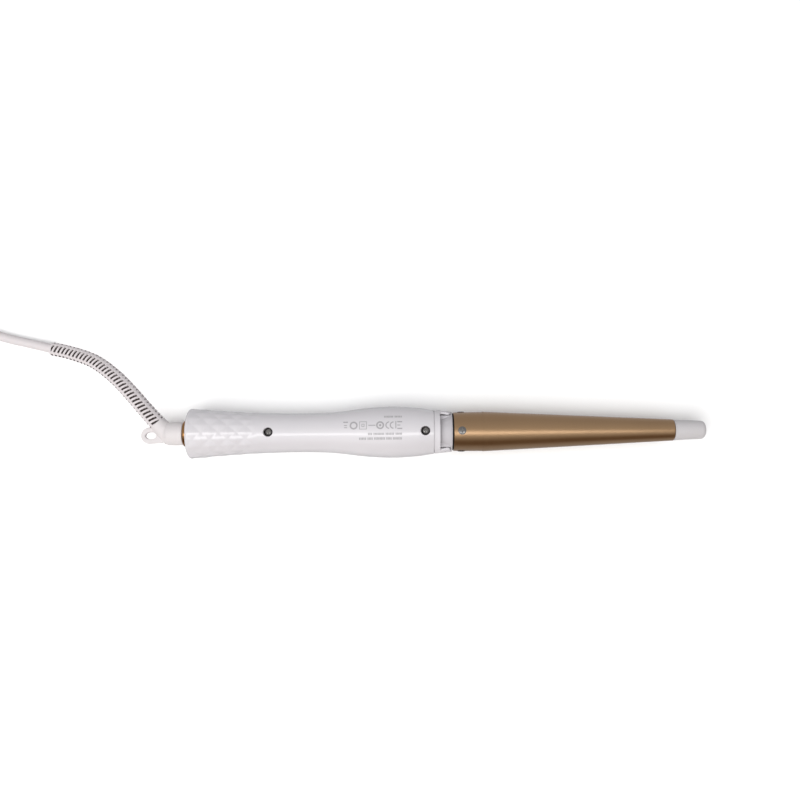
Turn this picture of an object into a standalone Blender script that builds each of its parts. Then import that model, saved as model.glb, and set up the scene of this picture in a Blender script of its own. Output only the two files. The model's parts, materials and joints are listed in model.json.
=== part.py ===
"""Tapered curling wand with a swivel cord, as an assembly of separate pieces.

The wand's axis runs along +X, from the handle's rear face to the cool tip, and the label side
faces +Z. Lengths are in metres. Positions along the axis are counted from the handle's rear
face, and heights from the axis: the empty "wand_frame" puts both into the world, where the
wand lies on z = 0 with its origin under the middle of its bounding box.
"""

import math

import bmesh
import bpy
import numpy as np
from mathutils import Matrix, Vector

# Overall
AXIS_HEIGHT = 0.0145
WAND_LENGTH = 0.3400
LOOP_END = -0.0317
GAP = 0.0003
FINE = 32
COARSE = 16
GRIP_STEP = 0.0100
BARREL_STEP = 0.0200
ROD_PHASE = math.radians(4.3)

# Handle shells
HANDLE_OUTLINE = (
    (0.0020, 0.01645),
    (0.0240, 0.01456),
    (0.0500, 0.01310),
    (0.0766, 0.01274),
    (0.0960, 0.01347),
    (0.1170, 0.01590),
    (0.1330, 0.01678),
    (0.1490, 0.01604),
    (0.1610, 0.01442),
)
HANDLE_CORNER = 0.0020
REAR_FACE_RADIUS = 0.0141
HANDLE_END = HANDLE_OUTLINE[-1][0]
WALL = 0.0020
END_WALL = 0.0022
FRONT_WALL = 0.0016
REAR_HOLE_RADIUS = 0.0090
FRONT_HOLE_RADIUS = 0.0104
FLAT_WALL = 0.0018

# Handle screws: place along the axis, and height of the counterbore's floor above the axis
HANDLE_SCREWS = {"rear": (0.0536, 0.0096), "front": (0.1555, 0.0120)}
BOSS_TOPS = {"rear": 0.0119, "front": 0.0142}
COUNTERBORE_RADIUS = 0.00285
SCREW_HEAD_RADIUS = 0.0025
SCREW_HEAD_HEIGHT = 0.0017
SCREW_SHANK_RADIUS = 0.0012
SCREW_HOLE_RADIUS = 0.0015
SCREW_DEPTH = 0.0070
BOSS_RADIUS = 0.0042

# Controls on the flat underside
BOARD = ((0.1020, -0.0078, -0.0085), (0.1505, 0.0078, -0.0069))
POSTS = ((0.1060, 0.0060, -0.0120), (0.1475, 0.0066, -0.0132))
POST_RADIUS = 0.0014
BUTTONS = {"minus": (0.1300, 0.0030), "plus": (0.1378, 0.0030), "power": (0.1462, 0.0034)}
BUTTON_RECESS = 0.00025
BUTTON_EDGE = 0.0004
BUTTON_FLANGE = 0.0007
BUTTON_FLANGE_THICKNESS = 0.0010
SWITCH_HALF = 0.0024
SWITCH_FACE = -0.0105
WINDOW = ((0.1152, -0.0042), (0.1250, 0.0042))
WINDOW_DEPTH = 0.0030
LENS_RIM = 0.0007
LENS_RIM_THICKNESS = 0.0006
MODULE_CLEARANCE = 0.0012
TRIAC = ((0.1065, -0.0050), (0.1110, 0.0050), 0.0035)
CAPACITOR = ((0.1165, -0.0045), (0.1290, 0.0045), 0.0040)

# Leads on the +Y side, mirrored for the other side
LEAD_RADIUS = 0.0008
LEAD_STEP = 0.0060
MAINS_LEAD = (
    (0.0193, 0.0022, 0.0098),
    (0.0340, 0.0052, 0.0060),
    (0.0536, 0.0062, 0.0010),
    (0.0760, 0.0050, -0.0040),
    (0.0960, 0.0042, -0.0072),
    (0.1017, 0.0042, -0.0077),
)
HEATER_LEAD = (
    (0.1512, 0.0058, -0.0075),
    (0.1545, 0.0062, -0.0046),
    (0.1590, 0.0054, -0.0020),
    (0.1645, 0.0030, -0.0002),
    (0.1740, 0.0022, 0.0),
    (0.1885, 0.0022, 0.0),
)

# Neck and its folding stand
NECK_START = 0.1613
NECK_END = 0.1730
NECK_BORE = 0.0070
NECK_LIP = (0.1562, 0.1591)
NECK_LIP_RADIUS = 0.0120
NECK_LIP_BORE = 0.0086
NECK_WAIST = ((0.1591, 0.0100), (0.1684, 0.0100), (0.1706, 0.0102), (0.1721, 0.0107))
BOSS_NOTCH = (0.1598, 0.0046)
FLANGE_START = 0.1721
FLANGE_RADIUS = 0.0131
SHROUD_BORE = 0.0095
SHROUD_SHOULDER = (0.1673, 0.0138)
SHROUD_RADIUS = 0.0142
SHROUD_TOP = 0.0013
STAND_BAR = (0.1615, 0.1650)
STAND_INNER = 0.0120
STAND_OUTER = 0.0142
STAND_FOOT = 0.0016
STAND_PIVOT = (0.1698, 0.0042)
STAND_EYE = 0.0020
STAND_SHOULDER = 0.0006
PIN_RADIUS = 0.0008
PIN_REACH = (0.0095, 0.0124)
PIN_HOLE = 0.0011

# Barrel, its screws and the cool tip
INSULATOR = (0.1733, 0.1737)
INSULATOR_RADII = (0.0070, 0.0122)
BARREL_OUTLINE = (
    (0.1740, 0.01265),
    (0.1830, 0.01280),
    (0.1955, 0.01283),
    (0.2036, 0.01257),
    (0.3189, 0.00700),
)
BARREL_WALL = 0.0010
SPIGOT_RADIUS = 0.0110
SPIGOT_START = 0.1650
SPIGOT_SHOULDER = 0.1743
SPIGOT_END = 0.1880
WIRE_BORE = 0.0050
BARREL_SCREW_X = 0.1792
BARREL_SCREW_HEAD = 0.00265
BARREL_SCREW_DOME = 0.0008
BARREL_SCREW_SEAT = 0.0131
BARREL_SCREW_END = 0.0080
BARREL_HOLE_END = 0.0076
TIP_START = 0.3192
TIP_PLUG = (0.3110, 0.0052)
TIP_RADII = (0.0068, 0.0060)
TIP_ROUNDING = 0.0030

# Heater
HEATER_SPAN = (0.1900, 0.2620)
HEATER_RADIUS = 0.0050
CERAMIC_HALF_HEIGHT = 0.0010
CERAMIC_HALF_WIDTH = 0.0035
CERAMIC_OVERHANG = 0.0012
CERAMIC_SHORTFALL = 0.0040
CLIP_SPAN = (0.2200, 0.2320)
CLIP_THICKNESS = 0.0005
THERMISTOR = (0.2060, 0.2100, 0.0009)
FUSE = (0.2400, 0.2500, 0.0015)

# Swivel
RING_SPAN = (-0.0033, 0.0017)
RING_RADIUS = 0.0087
RING_SLEEVE = 0.0080
RING_BORE = 0.0054
SHAFT_RADIUS = 0.0050
SHAFT_NECK = 0.0040
SHAFT_SPAN = (-0.0120, 0.0215)
BUSH_SPAN = (0.0026, 0.0062)
BUSH_RADIUS = 0.0123
SHAFT_FLANGE = (0.0020, 0.0075)
SLIP_RINGS = (0.0115, 0.0165)
SLIP_RING_HALF_WIDTH = 0.0010
SLIP_RING_RADIUS = 0.0060
CONTACT_BLOCK = ((0.0098, -0.0035, 0.0086), (0.0190, 0.0035, 0.0120))
CONTACT_HALF_WIDTH = 0.0007
CONTACT_RADII = (0.0063, 0.0067)
CONTACT_TAIL = ((0.0022, 0.0074), (0.0030, 0.0083), (0.0034, 0.0083), (0.0036, 0.0066))
BOOT_RADIUS = 0.0076
BOOT_EDGE = 0.0018
BOOT_SPAN = (-0.0150, -0.0036)
LOOP_CENTRE = (-0.0251, -0.0011)
LOOP_HOLE = (0.0038, 0.00245)
LOOP_HALF_WIDTH = 0.0053
LOOP_THICKNESS = 0.0034
LOOP_ROOT = ((-0.0140, 0.0050), (-0.0140, -0.0052))

# Cord: a list of points chosen along its way, each (x, y, height above the floor)
CORD_RADIUS = 0.0030
CORD_SPACING = 0.0150
RELIEF_RADII = (0.0054, 0.0045)
ELBOW_RADIUS = 0.0057
ELBOW_START = (-0.0114, -0.0031)
RELIEF_ROUTE = (
    (-0.0237, 0.0099, 0.0145),
    (-0.0308, 0.0176, 0.0141),
    (-0.0383, 0.0260, 0.0132),
    (-0.0512, 0.0388, 0.0110),
    (-0.0663, 0.0496, 0.0080),
    (-0.0835, 0.0560, 0.0056),
    (-0.0965, 0.0590, 0.0048),
)
CORD_ROUTE = (
    (-0.0968, 0.0591, 0.0048),
    (-0.1050, 0.0611, 0.0038),
    (-0.1150, 0.0636, 0.00305),
    (-0.1310, 0.0675, 0.00305),
    (-0.1480, 0.0730, 0.00305),
    (-0.1690, 0.0786, 0.00305),
)
COIL_CENTRE = (-0.1960, 0.0310)
COIL_RADII = (0.0210, 0.0510)
COIL_HEIGHT = (0.0001, 0.0121)
TAIL_ROUTE = (
    (-0.2255, -0.0154, 0.00305),
    (-0.2160, -0.0256, 0.0035),
    (-0.2055, -0.0336, 0.0065),
    (-0.1958, -0.0350, 0.0076),
)
PLUG_BACK = (-0.1950, -0.0350, 0.0076)
PLUG_SIZE = (0.0280, 0.0210, 0.0150)
PLUG_SLEEVE_RADIUS = 0.0034
PLUG_RELIEF_RADIUS = 0.0045
PLUG_RELIEF_LENGTH = 0.0060
PLUG_CORNER = 0.0040
PLUG_LAP = 0.0020
BLADE_SIZE = (0.0160, 0.0015, 0.0063)
BLADE_SPACING = 0.0127


def clear_scene():
    for obj in list(bpy.data.objects):
        bpy.data.objects.remove(obj)


def material(name, red, green, blue, roughness, metallic=0.0):
    """A Principled material; the colour is given as 8-bit sRGB and stored as linear light."""
    made = bpy.data.materials.new(name)
    made.use_nodes = True
    shader = made.node_tree.nodes["Principled BSDF"]
    linear = [((c / 255 + 0.055) / 1.055) ** 2.4 for c in (red, green, blue)]
    shader.inputs["Base Color"].default_value = (*linear, 1.0)
    shader.inputs["Roughness"].default_value = roughness
    shader.inputs["Metallic"].default_value = metallic
    return made


def settle(name, bm, surface, parent, origin=(0.0, 0.0, 0.0)):
    """A named object from a bmesh whose points are in its parent's frame, with its own origin."""
    bmesh.ops.recalc_face_normals(bm, faces=bm.faces)
    bmesh.ops.translate(bm, verts=bm.verts, vec=-Vector(origin))
    mesh = bpy.data.meshes.new(name)
    bm.to_mesh(mesh)
    bm.free()
    mesh.shade_smooth()
    mesh.set_sharp_from_angle(angle=math.radians(32))
    obj = bpy.data.objects.new(name, mesh)
    obj.location = origin
    obj.parent = parent
    bpy.context.scene.collection.objects.link(obj)
    if surface:
        mesh.materials.append(surface)
    return obj


def cutter(name, bm, parent):
    obj = settle(name, bm, None, parent)
    obj.hide_render = True
    obj.display_type = "WIRE"
    return obj


def cut(obj, tool, operation="DIFFERENCE"):
    """A Boolean with the MANIFOLD solver, which keeps the long, finely faceted shells closed."""
    step = obj.modifiers.new(tool.name, "BOOLEAN")
    step.operation = operation
    step.solver = "MANIFOLD"
    step.object = tool


def turned(outline, segments=FINE, start=0.0, sweep=2 * math.pi):
    """A closed solid turned about the X axis, from a closed outline of (x, radius) points."""
    bm = bmesh.new()
    whole = sweep > 2 * math.pi - 1e-6
    count = segments if whole else segments + 1
    angles = [start + sweep * i / segments for i in range(count)]
    rings = []
    for x, radius in outline:
        if radius == 0:
            rings.append([bm.verts.new((x, 0, 0))] * count)
        else:
            rings.append(
                [bm.verts.new((x, radius * math.cos(a), radius * math.sin(a))) for a in angles]
            )
    for one, two in zip(rings, rings[1:] + rings[:1]):
        for i in range(count if whole else count - 1):
            j = (i + 1) % count
            corners = list(dict.fromkeys((one[i], one[j], two[j], two[i])))
            if len(corners) > 2:
                bm.faces.new(corners)
    if not whole:
        bm.faces.new([ring[0] for ring in rings])
        bm.faces.new([ring[-1] for ring in rings])
    return bm


def aimed(bm, start, direction):
    """Moves a solid turned about X so that its axis leaves start along direction."""
    turn = Vector((1, 0, 0)).rotation_difference(Vector(direction).normalized())
    place = Matrix.Translation(start) @ turn.to_matrix().to_4x4()
    bmesh.ops.transform(bm, verts=bm.verts, matrix=place)
    return bm


def rod(start, end, radius, end_radius=None, segments=COARSE):
    """A round bar from one point to another."""
    start, end = Vector(start), Vector(end)
    length = (end - start).length
    last = radius if end_radius is None else end_radius
    outline = ((0, 0), (0, radius), (length, last), (length, 0))
    return aimed(turned(outline, segments, start=ROD_PHASE), start, end - start)


def box(low, high):
    bm = bmesh.new()
    bmesh.ops.create_cube(bm, size=1.0)
    low, high = Vector(low), Vector(high)
    place = Matrix.Translation((low + high) / 2) @ Matrix.Diagonal((*(high - low), 1))
    bmesh.ops.transform(bm, verts=bm.verts, matrix=place)
    return bm


def slab(outline, low, high, across="Y"):
    """A flat outline made thick: (x, z) points across Y, (x, y) across Z or (y, z) across X."""
    bm = bmesh.new()
    place = {
        "X": lambda a, b, depth: (depth, a, b),
        "Y": lambda a, b, depth: (a, depth, b),
        "Z": lambda a, b, depth: (a, b, depth),
    }[across]
    near = [bm.verts.new(place(a, b, low)) for a, b in outline]
    far = [bm.verts.new(place(a, b, high)) for a, b in outline]
    bm.faces.new(near)
    bm.faces.new(far)
    for i in range(len(near)):
        j = (i + 1) % len(near)
        bm.faces.new((near[i], near[j], far[j], far[i]))
    return bm


def arc(centre, radius, first, last, steps, radius_2=None):
    """Points of an arc in a plane, from the angle first to last in degrees."""
    second = radius if radius_2 is None else radius_2
    turns = [math.radians(first + (last - first) * i / steps) for i in range(steps + 1)]
    return [(centre[0] + radius * math.cos(a), centre[1] + second * math.sin(a)) for a in turns]


def smooth_line(points, spacing):
    """Evenly spaced points of a Catmull-Rom curve through the given points."""
    p = np.array(points, float)
    p = np.vstack([2 * p[0] - p[1], p, 2 * p[-1] - p[-2]])
    t = np.linspace(0, 1, 24, endpoint=False)[:, None]
    spans = []
    for a, b, c, d in zip(p[:-3], p[1:-2], p[2:-1], p[3:]):
        bend = 2 * a - 5 * b + 4 * c - d
        twist = 3 * b - a - 3 * c + d
        spans.append(0.5 * (2 * b + (c - a) * t + bend * t**2 + twist * t**3))
    line = np.vstack([*spans, p[-2:-1]])
    along = np.r_[0, np.cumsum(np.linalg.norm(np.diff(line, axis=0), axis=1))]
    count = max(2, round(along[-1] / spacing) + 1)
    at = np.linspace(0, along[-1], count)
    return np.column_stack([np.interp(at, along, line[:, k]) for k in range(line.shape[1])])


def tube(name, line, radius, surface, parent, end_radius=None, sides=3):
    """A round tube along a line of points, as a bevelled curve; it may taper to end_radius."""
    data = bpy.data.curves.new(name, "CURVE")
    data.dimensions = "3D"
    data.bevel_depth = radius
    data.bevel_resolution = sides
    data.use_fill_caps = True
    spline = data.splines.new("POLY")
    spline.points.add(len(line) - 1)
    last = 1.0 if end_radius is None else end_radius / radius
    for i, point in enumerate(line):
        spline.points[i].co = (*point, 1.0)
        spline.points[i].radius = 1.0 + (last - 1.0) * i / (len(line) - 1)
    spline.use_smooth = True
    data.materials.append(surface)
    obj = bpy.data.objects.new(name, data)
    obj.parent = parent
    bpy.context.scene.collection.objects.link(obj)
    return obj


def from_floor(route):
    """Route points with their height above the floor made a height from the wand's axis."""
    return [(x, y, z - AXIS_HEIGHT) for x, y, z in route]


def handle_radius(x):
    line = smooth_line(HANDLE_OUTLINE, 0.001)
    return float(np.interp(x, line[:, 0], line[:, 1]))


def handle_solid():
    """The handle's outer form: a rounded rear corner and the flowing grip."""
    drop = HANDLE_OUTLINE[0][1] - REAR_FACE_RADIUS
    rear = arc((HANDLE_CORNER, REAR_FACE_RADIUS), HANDLE_CORNER, 180, 90, 3, drop)
    grip = [tuple(point) for point in smooth_line(HANDLE_OUTLINE, GRIP_STEP)]
    return turned([(0, 0), *rear, *grip[1:], (HANDLE_END, 0)])


def handle_cavity(frame):
    """The hollow inside both shells, with the round openings at each end."""
    inside = HANDLE_END - FRONT_WALL
    grip = [(x, r - WALL) for x, r in smooth_line(HANDLE_OUTLINE, GRIP_STEP) if END_WALL < x < inside]
    outline = [
        (-0.002, 0),
        (-0.002, REAR_HOLE_RADIUS),
        (END_WALL, REAR_HOLE_RADIUS),
        (END_WALL, handle_radius(END_WALL) - WALL),
        *grip,
        (inside, handle_radius(inside) - WALL),
        (inside, FRONT_HOLE_RADIUS),
        (HANDLE_END + 0.002, FRONT_HOLE_RADIUS),
        (HANDLE_END + 0.002, 0),
    ]
    hollow = cutter("handle_cavity", turned(outline), frame)
    floor = box((-0.01, -0.03, -0.03), (0.2, 0.03, FLAT_WALL - AXIS_HEIGHT))
    cut(hollow, cutter("cavity_floor", floor, frame))
    return hollow


def screw_hole(name, x, floor, frame):
    """The stepped hole of a handle screw: counterbore, clearance hole and blind pilot hole."""
    outline = (
        (-0.03, 0),
        (-0.03, COUNTERBORE_RADIUS),
        (-floor, COUNTERBORE_RADIUS),
        (-floor, SCREW_HOLE_RADIUS),
        (SCREW_DEPTH + 0.001, SCREW_HOLE_RADIUS),
        (SCREW_DEPTH + 0.001, 0),
    )
    return cutter(name, aimed(turned(outline, COARSE), (x, 0, 0), (0, 0, -1)), frame)


def label_shell(frame, hollow, holes, surface):
    shell = settle("label_shell", handle_solid(), surface, frame)
    cut(shell, hollow)
    for name, (x, _) in HANDLE_SCREWS.items():
        boss = rod((x, 0, -0.001), (x, 0, BOSS_TOPS[name]), BOSS_RADIUS)
        cut(shell, cutter(f"upper_boss_{name}", boss, frame), "UNION")
    cut(shell, cutter("lower_half", box((-0.05, -0.05, -0.05), (0.2, 0.05, GAP / 2)), frame))
    for hole in holes:
        cut(shell, hole)


def control_shell(frame, hollow, holes, surface):
    shell = settle("control_shell", handle_solid(), surface, frame)
    cut(shell, hollow)
    for name, (x, _) in HANDLE_SCREWS.items():
        reach = min(BOSS_TOPS[name], AXIS_HEIGHT - FLAT_WALL / 2)
        boss = rod((x, 0, 0.001), (x, 0, -reach), BOSS_RADIUS)
        cut(shell, cutter(f"lower_boss_{name}", boss, frame), "UNION")
    for x, y, bottom in POSTS:
        for side in (-1, 1):
            post = rod((x, side * y, bottom), (x, side * y, BOARD[0][2] - GAP), POST_RADIUS, segments=12)
            cut(shell, cutter("board_post", post, frame), "UNION")
    cut(shell, cutter("upper_half", box((-0.05, -0.05, -GAP / 2), (0.2, 0.05, 0.05)), frame))
    cut(shell, cutter("underside", box((-0.05, -0.05, -0.05), (0.2, 0.05, -AXIS_HEIGHT)), frame))
    for hole in holes:
        cut(shell, hole)
    for name, (x, radius) in BUTTONS.items():
        hole = rod((x, 0, -0.02), (x, 0, -0.01), radius + GAP)
        cut(shell, cutter(f"{name}_hole", hole, frame))
    (x0, y0), (x1, y1) = WINDOW
    hole = box((x0 - GAP, y0 - GAP, -0.02), (x1 + GAP, y1 + GAP, WINDOW_DEPTH - AXIS_HEIGHT))
    cut(shell, cutter("window_hole", hole, frame))


def handle_screw(name, x, floor, surface, frame):
    """A pan-head screw pointing down into the control shell's boss."""
    seat = floor + GAP
    dome = arc((-seat, 0), SCREW_HEAD_HEIGHT, 180, 90, 4, SCREW_HEAD_RADIUS)
    outline = (*dome, (-seat, SCREW_SHANK_RADIUS), (SCREW_DEPTH, SCREW_SHANK_RADIUS), (SCREW_DEPTH, 0))
    settle(f"handle_screw_{name}", aimed(turned(outline, COARSE), (x, 0, 0), (0, 0, -1)), surface, frame)


def controls(frame, dark, surface, lens, board, metal):
    """The circuit board with its switches and display, and the three buttons that press on it."""
    settle("circuit_board", box(*BOARD), board, frame)
    under = BOARD[0][2] - GAP
    inner_wall = FLAT_WALL - AXIS_HEIGHT
    for name, (x, radius) in BUTTONS.items():
        switch = box((x - SWITCH_HALF, -SWITCH_HALF, SWITCH_FACE), (x + SWITCH_HALF, SWITCH_HALF, under))
        settle(f"{name}_switch", switch, dark, frame)
        face = BUTTON_RECESS - AXIS_HEIGHT
        flange = inner_wall + GAP
        outline = (
            (-face, 0),
            (-face, radius - BUTTON_EDGE),
            (-face - BUTTON_EDGE, radius),
            (-flange, radius),
            (-flange, radius + BUTTON_FLANGE),
            (-flange - BUTTON_FLANGE_THICKNESS, radius + BUTTON_FLANGE),
            (-flange - BUTTON_FLANGE_THICKNESS, 0),
        )
        button = aimed(turned(outline, COARSE), (x, 0, 0), (0, 0, -1))
        settle(f"{name}_button", button, surface, frame, origin=(x, 0, face))
    (x0, y0), (x1, y1) = WINDOW
    rim_top = inner_wall + GAP + LENS_RIM_THICKNESS
    pane = box((x0, y0, BUTTON_RECESS - AXIS_HEIGHT), (x1, y1, rim_top - GAP))
    glass = settle("display_lens", pane, lens, frame)
    x0, y0, x1, y1 = x0 - LENS_RIM, y0 - LENS_RIM, x1 + LENS_RIM, y1 + LENS_RIM
    rim = box((x0, y0, inner_wall + GAP), (x1, y1, rim_top))
    cut(glass, cutter("lens_rim", rim, frame), "UNION")
    module = box((x0, y0, inner_wall + MODULE_CLEARANCE), (x1, y1, under))
    settle("display_module", module, dark, frame)
    base = BOARD[1][2] + GAP
    for name, (low, high, top), finish in (("triac", TRIAC, dark), ("capacitor", CAPACITOR, metal)):
        settle(name, box((*low, base), (*high, top)), finish, frame)


def leads(frame, surface):
    """The mains leads from the contact block to the board, and from the board to the heater."""
    for side, name in ((-1, "left"), (1, "right")):
        for kind, route in (("mains", MAINS_LEAD), ("heater", HEATER_LEAD)):
            line = smooth_line([(x, side * y, z) for x, y, z in route], LEAD_STEP)
            tube(f"{kind}_lead_{name}", line, LEAD_RADIUS, surface, frame, sides=1)


def neck(frame, surface, seal):
    """The collar that carries the barrel: core, flange, side lugs, lower shroud and pivot pins."""
    lip_start, lip_end = NECK_LIP
    core = (
        (lip_start, NECK_LIP_BORE),
        (lip_start, NECK_LIP_RADIUS),
        (lip_end, NECK_LIP_RADIUS),
        *NECK_WAIST,
        (FLANGE_START, FLANGE_RADIUS),
        (NECK_END, FLANGE_RADIUS),
        (NECK_END, NECK_BORE),
        (lip_end, NECK_BORE),
        (lip_end, NECK_LIP_BORE),
    )
    collar = settle("neck_collar", turned(core), surface, frame)
    shroud = (
        (NECK_START, SHROUD_BORE),
        (NECK_START, SHROUD_RADIUS),
        SHROUD_SHOULDER,
        (FLANGE_START + 0.0002, FLANGE_RADIUS),
        (FLANGE_START + 0.0002, SHROUD_BORE),
    )
    lower = cutter("shroud", turned(shroud), frame)
    cut(lower, cutter("shroud_top", box((0.15, -0.03, SHROUD_TOP), (0.18, 0.03, 0.03)), frame))
    cut(collar, lower, "UNION")
    x, z = STAND_PIVOT
    for side in (-1, 1):
        root, end = (side * reach for reach in PIN_REACH)
        pin = rod((x, root, z), (x, end, z), PIN_RADIUS)
        cut(collar, cutter("pivot_pin", pin, frame), "UNION")
    notch_end, half = BOSS_NOTCH
    notch = box((0.1500, -half, -0.02), (notch_end, half, 0.02))
    cut(collar, cutter("boss_notch", notch, frame))
    near, far = INSULATOR
    bore, rim = INSULATOR_RADII
    ring = ((near, bore), (near, rim), (far, rim), (far, bore))
    settle("insulator_ring", turned(ring), seal, frame)


def stand(frame, surface):
    """The folding counter stand: a C-shaped bar whose two cheeks turn on the collar's pins."""
    back, front = STAND_BAR
    x, z = STAND_PIVOT
    tip = x + STAND_EYE
    ring = (
        (back, STAND_INNER),
        (back, STAND_OUTER),
        (front, STAND_OUTER - 0.0001),
        (tip, FLANGE_RADIUS + 0.0002),
        (tip, STAND_INNER - 0.0003),
        (front, STAND_INNER - 0.0002),
    )
    leg = settle("counter_stand", turned(ring), surface, frame, origin=(x, 0, z))
    eye = arc(STAND_PIVOT, STAND_EYE, 90, -90, 10)
    side_view = [
        (back - 0.001, STAND_FOOT),
        (back - 0.001, 0.02),
        (front, 0.02),
        (front, z + STAND_EYE),
        *eye,
        (x - STAND_SHOULDER, STAND_FOOT),
    ]
    cut(leg, cutter("stand_outline", slab(side_view, -0.03, 0.03), frame), "INTERSECT")
    hole = rod((x, -0.03, z), (x, 0.03, z), PIN_HOLE)
    cut(leg, cutter("pin_hole", hole, frame))


def barrel(frame, surface, screw_metal, mount_material):
    """The tapered tube, the spigot inside its base and the four screws that join them."""
    outer = [tuple(point) for point in smooth_line(BARREL_OUTLINE, BARREL_STEP)]
    inner = [(x, r - BARREL_WALL) for x, r in reversed(outer)]
    tube_body = settle("barrel", turned([*outer, *inner]), surface, frame)
    spigot = (
        (SPIGOT_START, WIRE_BORE),
        (SPIGOT_START, NECK_BORE - GAP),
        (SPIGOT_SHOULDER, NECK_BORE - GAP),
        (SPIGOT_SHOULDER, SPIGOT_RADIUS),
        (SPIGOT_END, SPIGOT_RADIUS),
        (SPIGOT_END, WIRE_BORE),
    )
    mount = settle("heater_mount", turned(spigot), mount_material, frame)
    seat = BARREL_SCREW_SEAT
    for i in range(4):
        away = Vector((0, math.cos(i * math.pi / 2), math.sin(i * math.pi / 2)))
        base = Vector((BARREL_SCREW_X, 0, 0))
        hole = rod(base + away * BARREL_HOLE_END, base + away * 0.02, SCREW_HOLE_RADIUS)
        opening = cutter(f"barrel_hole_{i}", hole, frame)
        cut(tube_body, opening)
        cut(mount, opening)
        dome = arc((seat, 0), BARREL_SCREW_DOME, 0, 90, 4, BARREL_SCREW_HEAD)
        end = BARREL_SCREW_END
        outline = (*dome, (seat, SCREW_SHANK_RADIUS), (end, SCREW_SHANK_RADIUS), (end, 0))
        screw = aimed(turned(outline, COARSE), base, away)
        settle(f"barrel_screw_{i + 1}", screw, screw_metal, frame)


def cool_tip(frame, surface):
    base, end = TIP_RADII
    nose = arc((WAND_LENGTH - TIP_ROUNDING, end - TIP_ROUNDING), TIP_ROUNDING, 90, 0, 5)
    inside, plug_radius = TIP_PLUG
    outline = (
        (inside, 0),
        (inside, plug_radius),
        (TIP_START, plug_radius),
        (TIP_START, base),
        *nose,
        (WAND_LENGTH, 0),
    )
    settle("cool_tip", turned(outline), surface, frame)


def heater(frame, metal, ceramic, steel):
    """A ceramic heater between two half-round blocks, held by a spring clip, with its sensors."""
    near, far = HEATER_SPAN
    half = CERAMIC_HALF_HEIGHT
    low = (near - CERAMIC_OVERHANG, -CERAMIC_HALF_WIDTH, -half)
    high = (far - CERAMIC_SHORTFALL, CERAMIC_HALF_WIDTH, half)
    settle("ceramic_heater", box(low, high), ceramic, frame)
    lift = math.degrees(math.asin((half + GAP) / HEATER_RADIUS))
    for name, first in (("upper", 0), ("lower", 180)):
        outline = arc((0, 0), HEATER_RADIUS, first + lift, first + 180 - lift, 12)
        settle(f"heater_block_{name}", slab(outline, near, far, across="X"), metal, frame)
    sensors = (("thermistor", THERMISTOR, 1, ceramic), ("thermal_fuse", FUSE, -1, steel))
    for name, (start, end, radius), side, finish in sensors:
        height = side * (HEATER_RADIUS + GAP + radius)
        settle(name, rod((start, 0, height), (end, 0, height), radius, segments=12), finish, frame)
    start, end = CLIP_SPAN
    bore = HEATER_RADIUS + GAP
    rim = bore + CLIP_THICKNESS
    ring = ((start, bore), (start, rim), (end, rim), (end, bore))
    clip = turned(ring, COARSE, start=math.radians(20), sweep=math.radians(320))
    settle("heater_clip", clip, steel, frame)


def swivel(frame, gold, brass, plastic):
    """The swivel: collar ring, bush, shaft, slip rings, contact block and contact springs."""
    low, high = RING_SPAN
    crown = arc((low / 2, RING_SLEEVE), -low / 2, 180, 0, 6, RING_RADIUS - RING_SLEEVE)
    outline = ((low, RING_BORE), *crown, (high, RING_SLEEVE), (high, RING_BORE))
    settle("swivel_ring", turned(outline), gold, frame)
    low, high = BUSH_SPAN
    outline = ((low, RING_BORE), (low, BUSH_RADIUS), (high, BUSH_RADIUS), (high, RING_BORE))
    settle("swivel_bush", turned(outline), plastic, frame)
    start, end = SHAFT_SPAN
    flange = high + GAP
    thickness, rim = SHAFT_FLANGE
    outline = (
        (start, 0),
        (start, SHAFT_RADIUS),
        (flange, SHAFT_RADIUS),
        (flange, rim),
        (flange + thickness, rim),
        (flange + thickness, SHAFT_NECK),
        (end, SHAFT_NECK),
        (end, 0),
    )
    settle("swivel_shaft", turned(outline), plastic, frame)
    settle("contact_block", box(*CONTACT_BLOCK), plastic, frame)
    bore, rim = SHAFT_NECK + GAP, SLIP_RING_RADIUS
    inner, outer = CONTACT_RADII
    for i, x in enumerate(SLIP_RINGS):
        low, high = x - SLIP_RING_HALF_WIDTH, x + SLIP_RING_HALF_WIDTH
        ring = ((low, bore), (low, rim), (high, rim), (high, bore))
        settle(f"slip_ring_{i + 1}", turned(ring), brass, frame)
        leaf = [*arc((0, 0), inner, 60, 120, 6), *arc((0, 0), outer, 120, 75, 5), *CONTACT_TAIL]
        spring = slab(leaf, x - CONTACT_HALF_WIDTH, x + CONTACT_HALF_WIDTH, across="X")
        settle(f"contact_spring_{i + 1}", spring, brass, frame)


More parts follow.
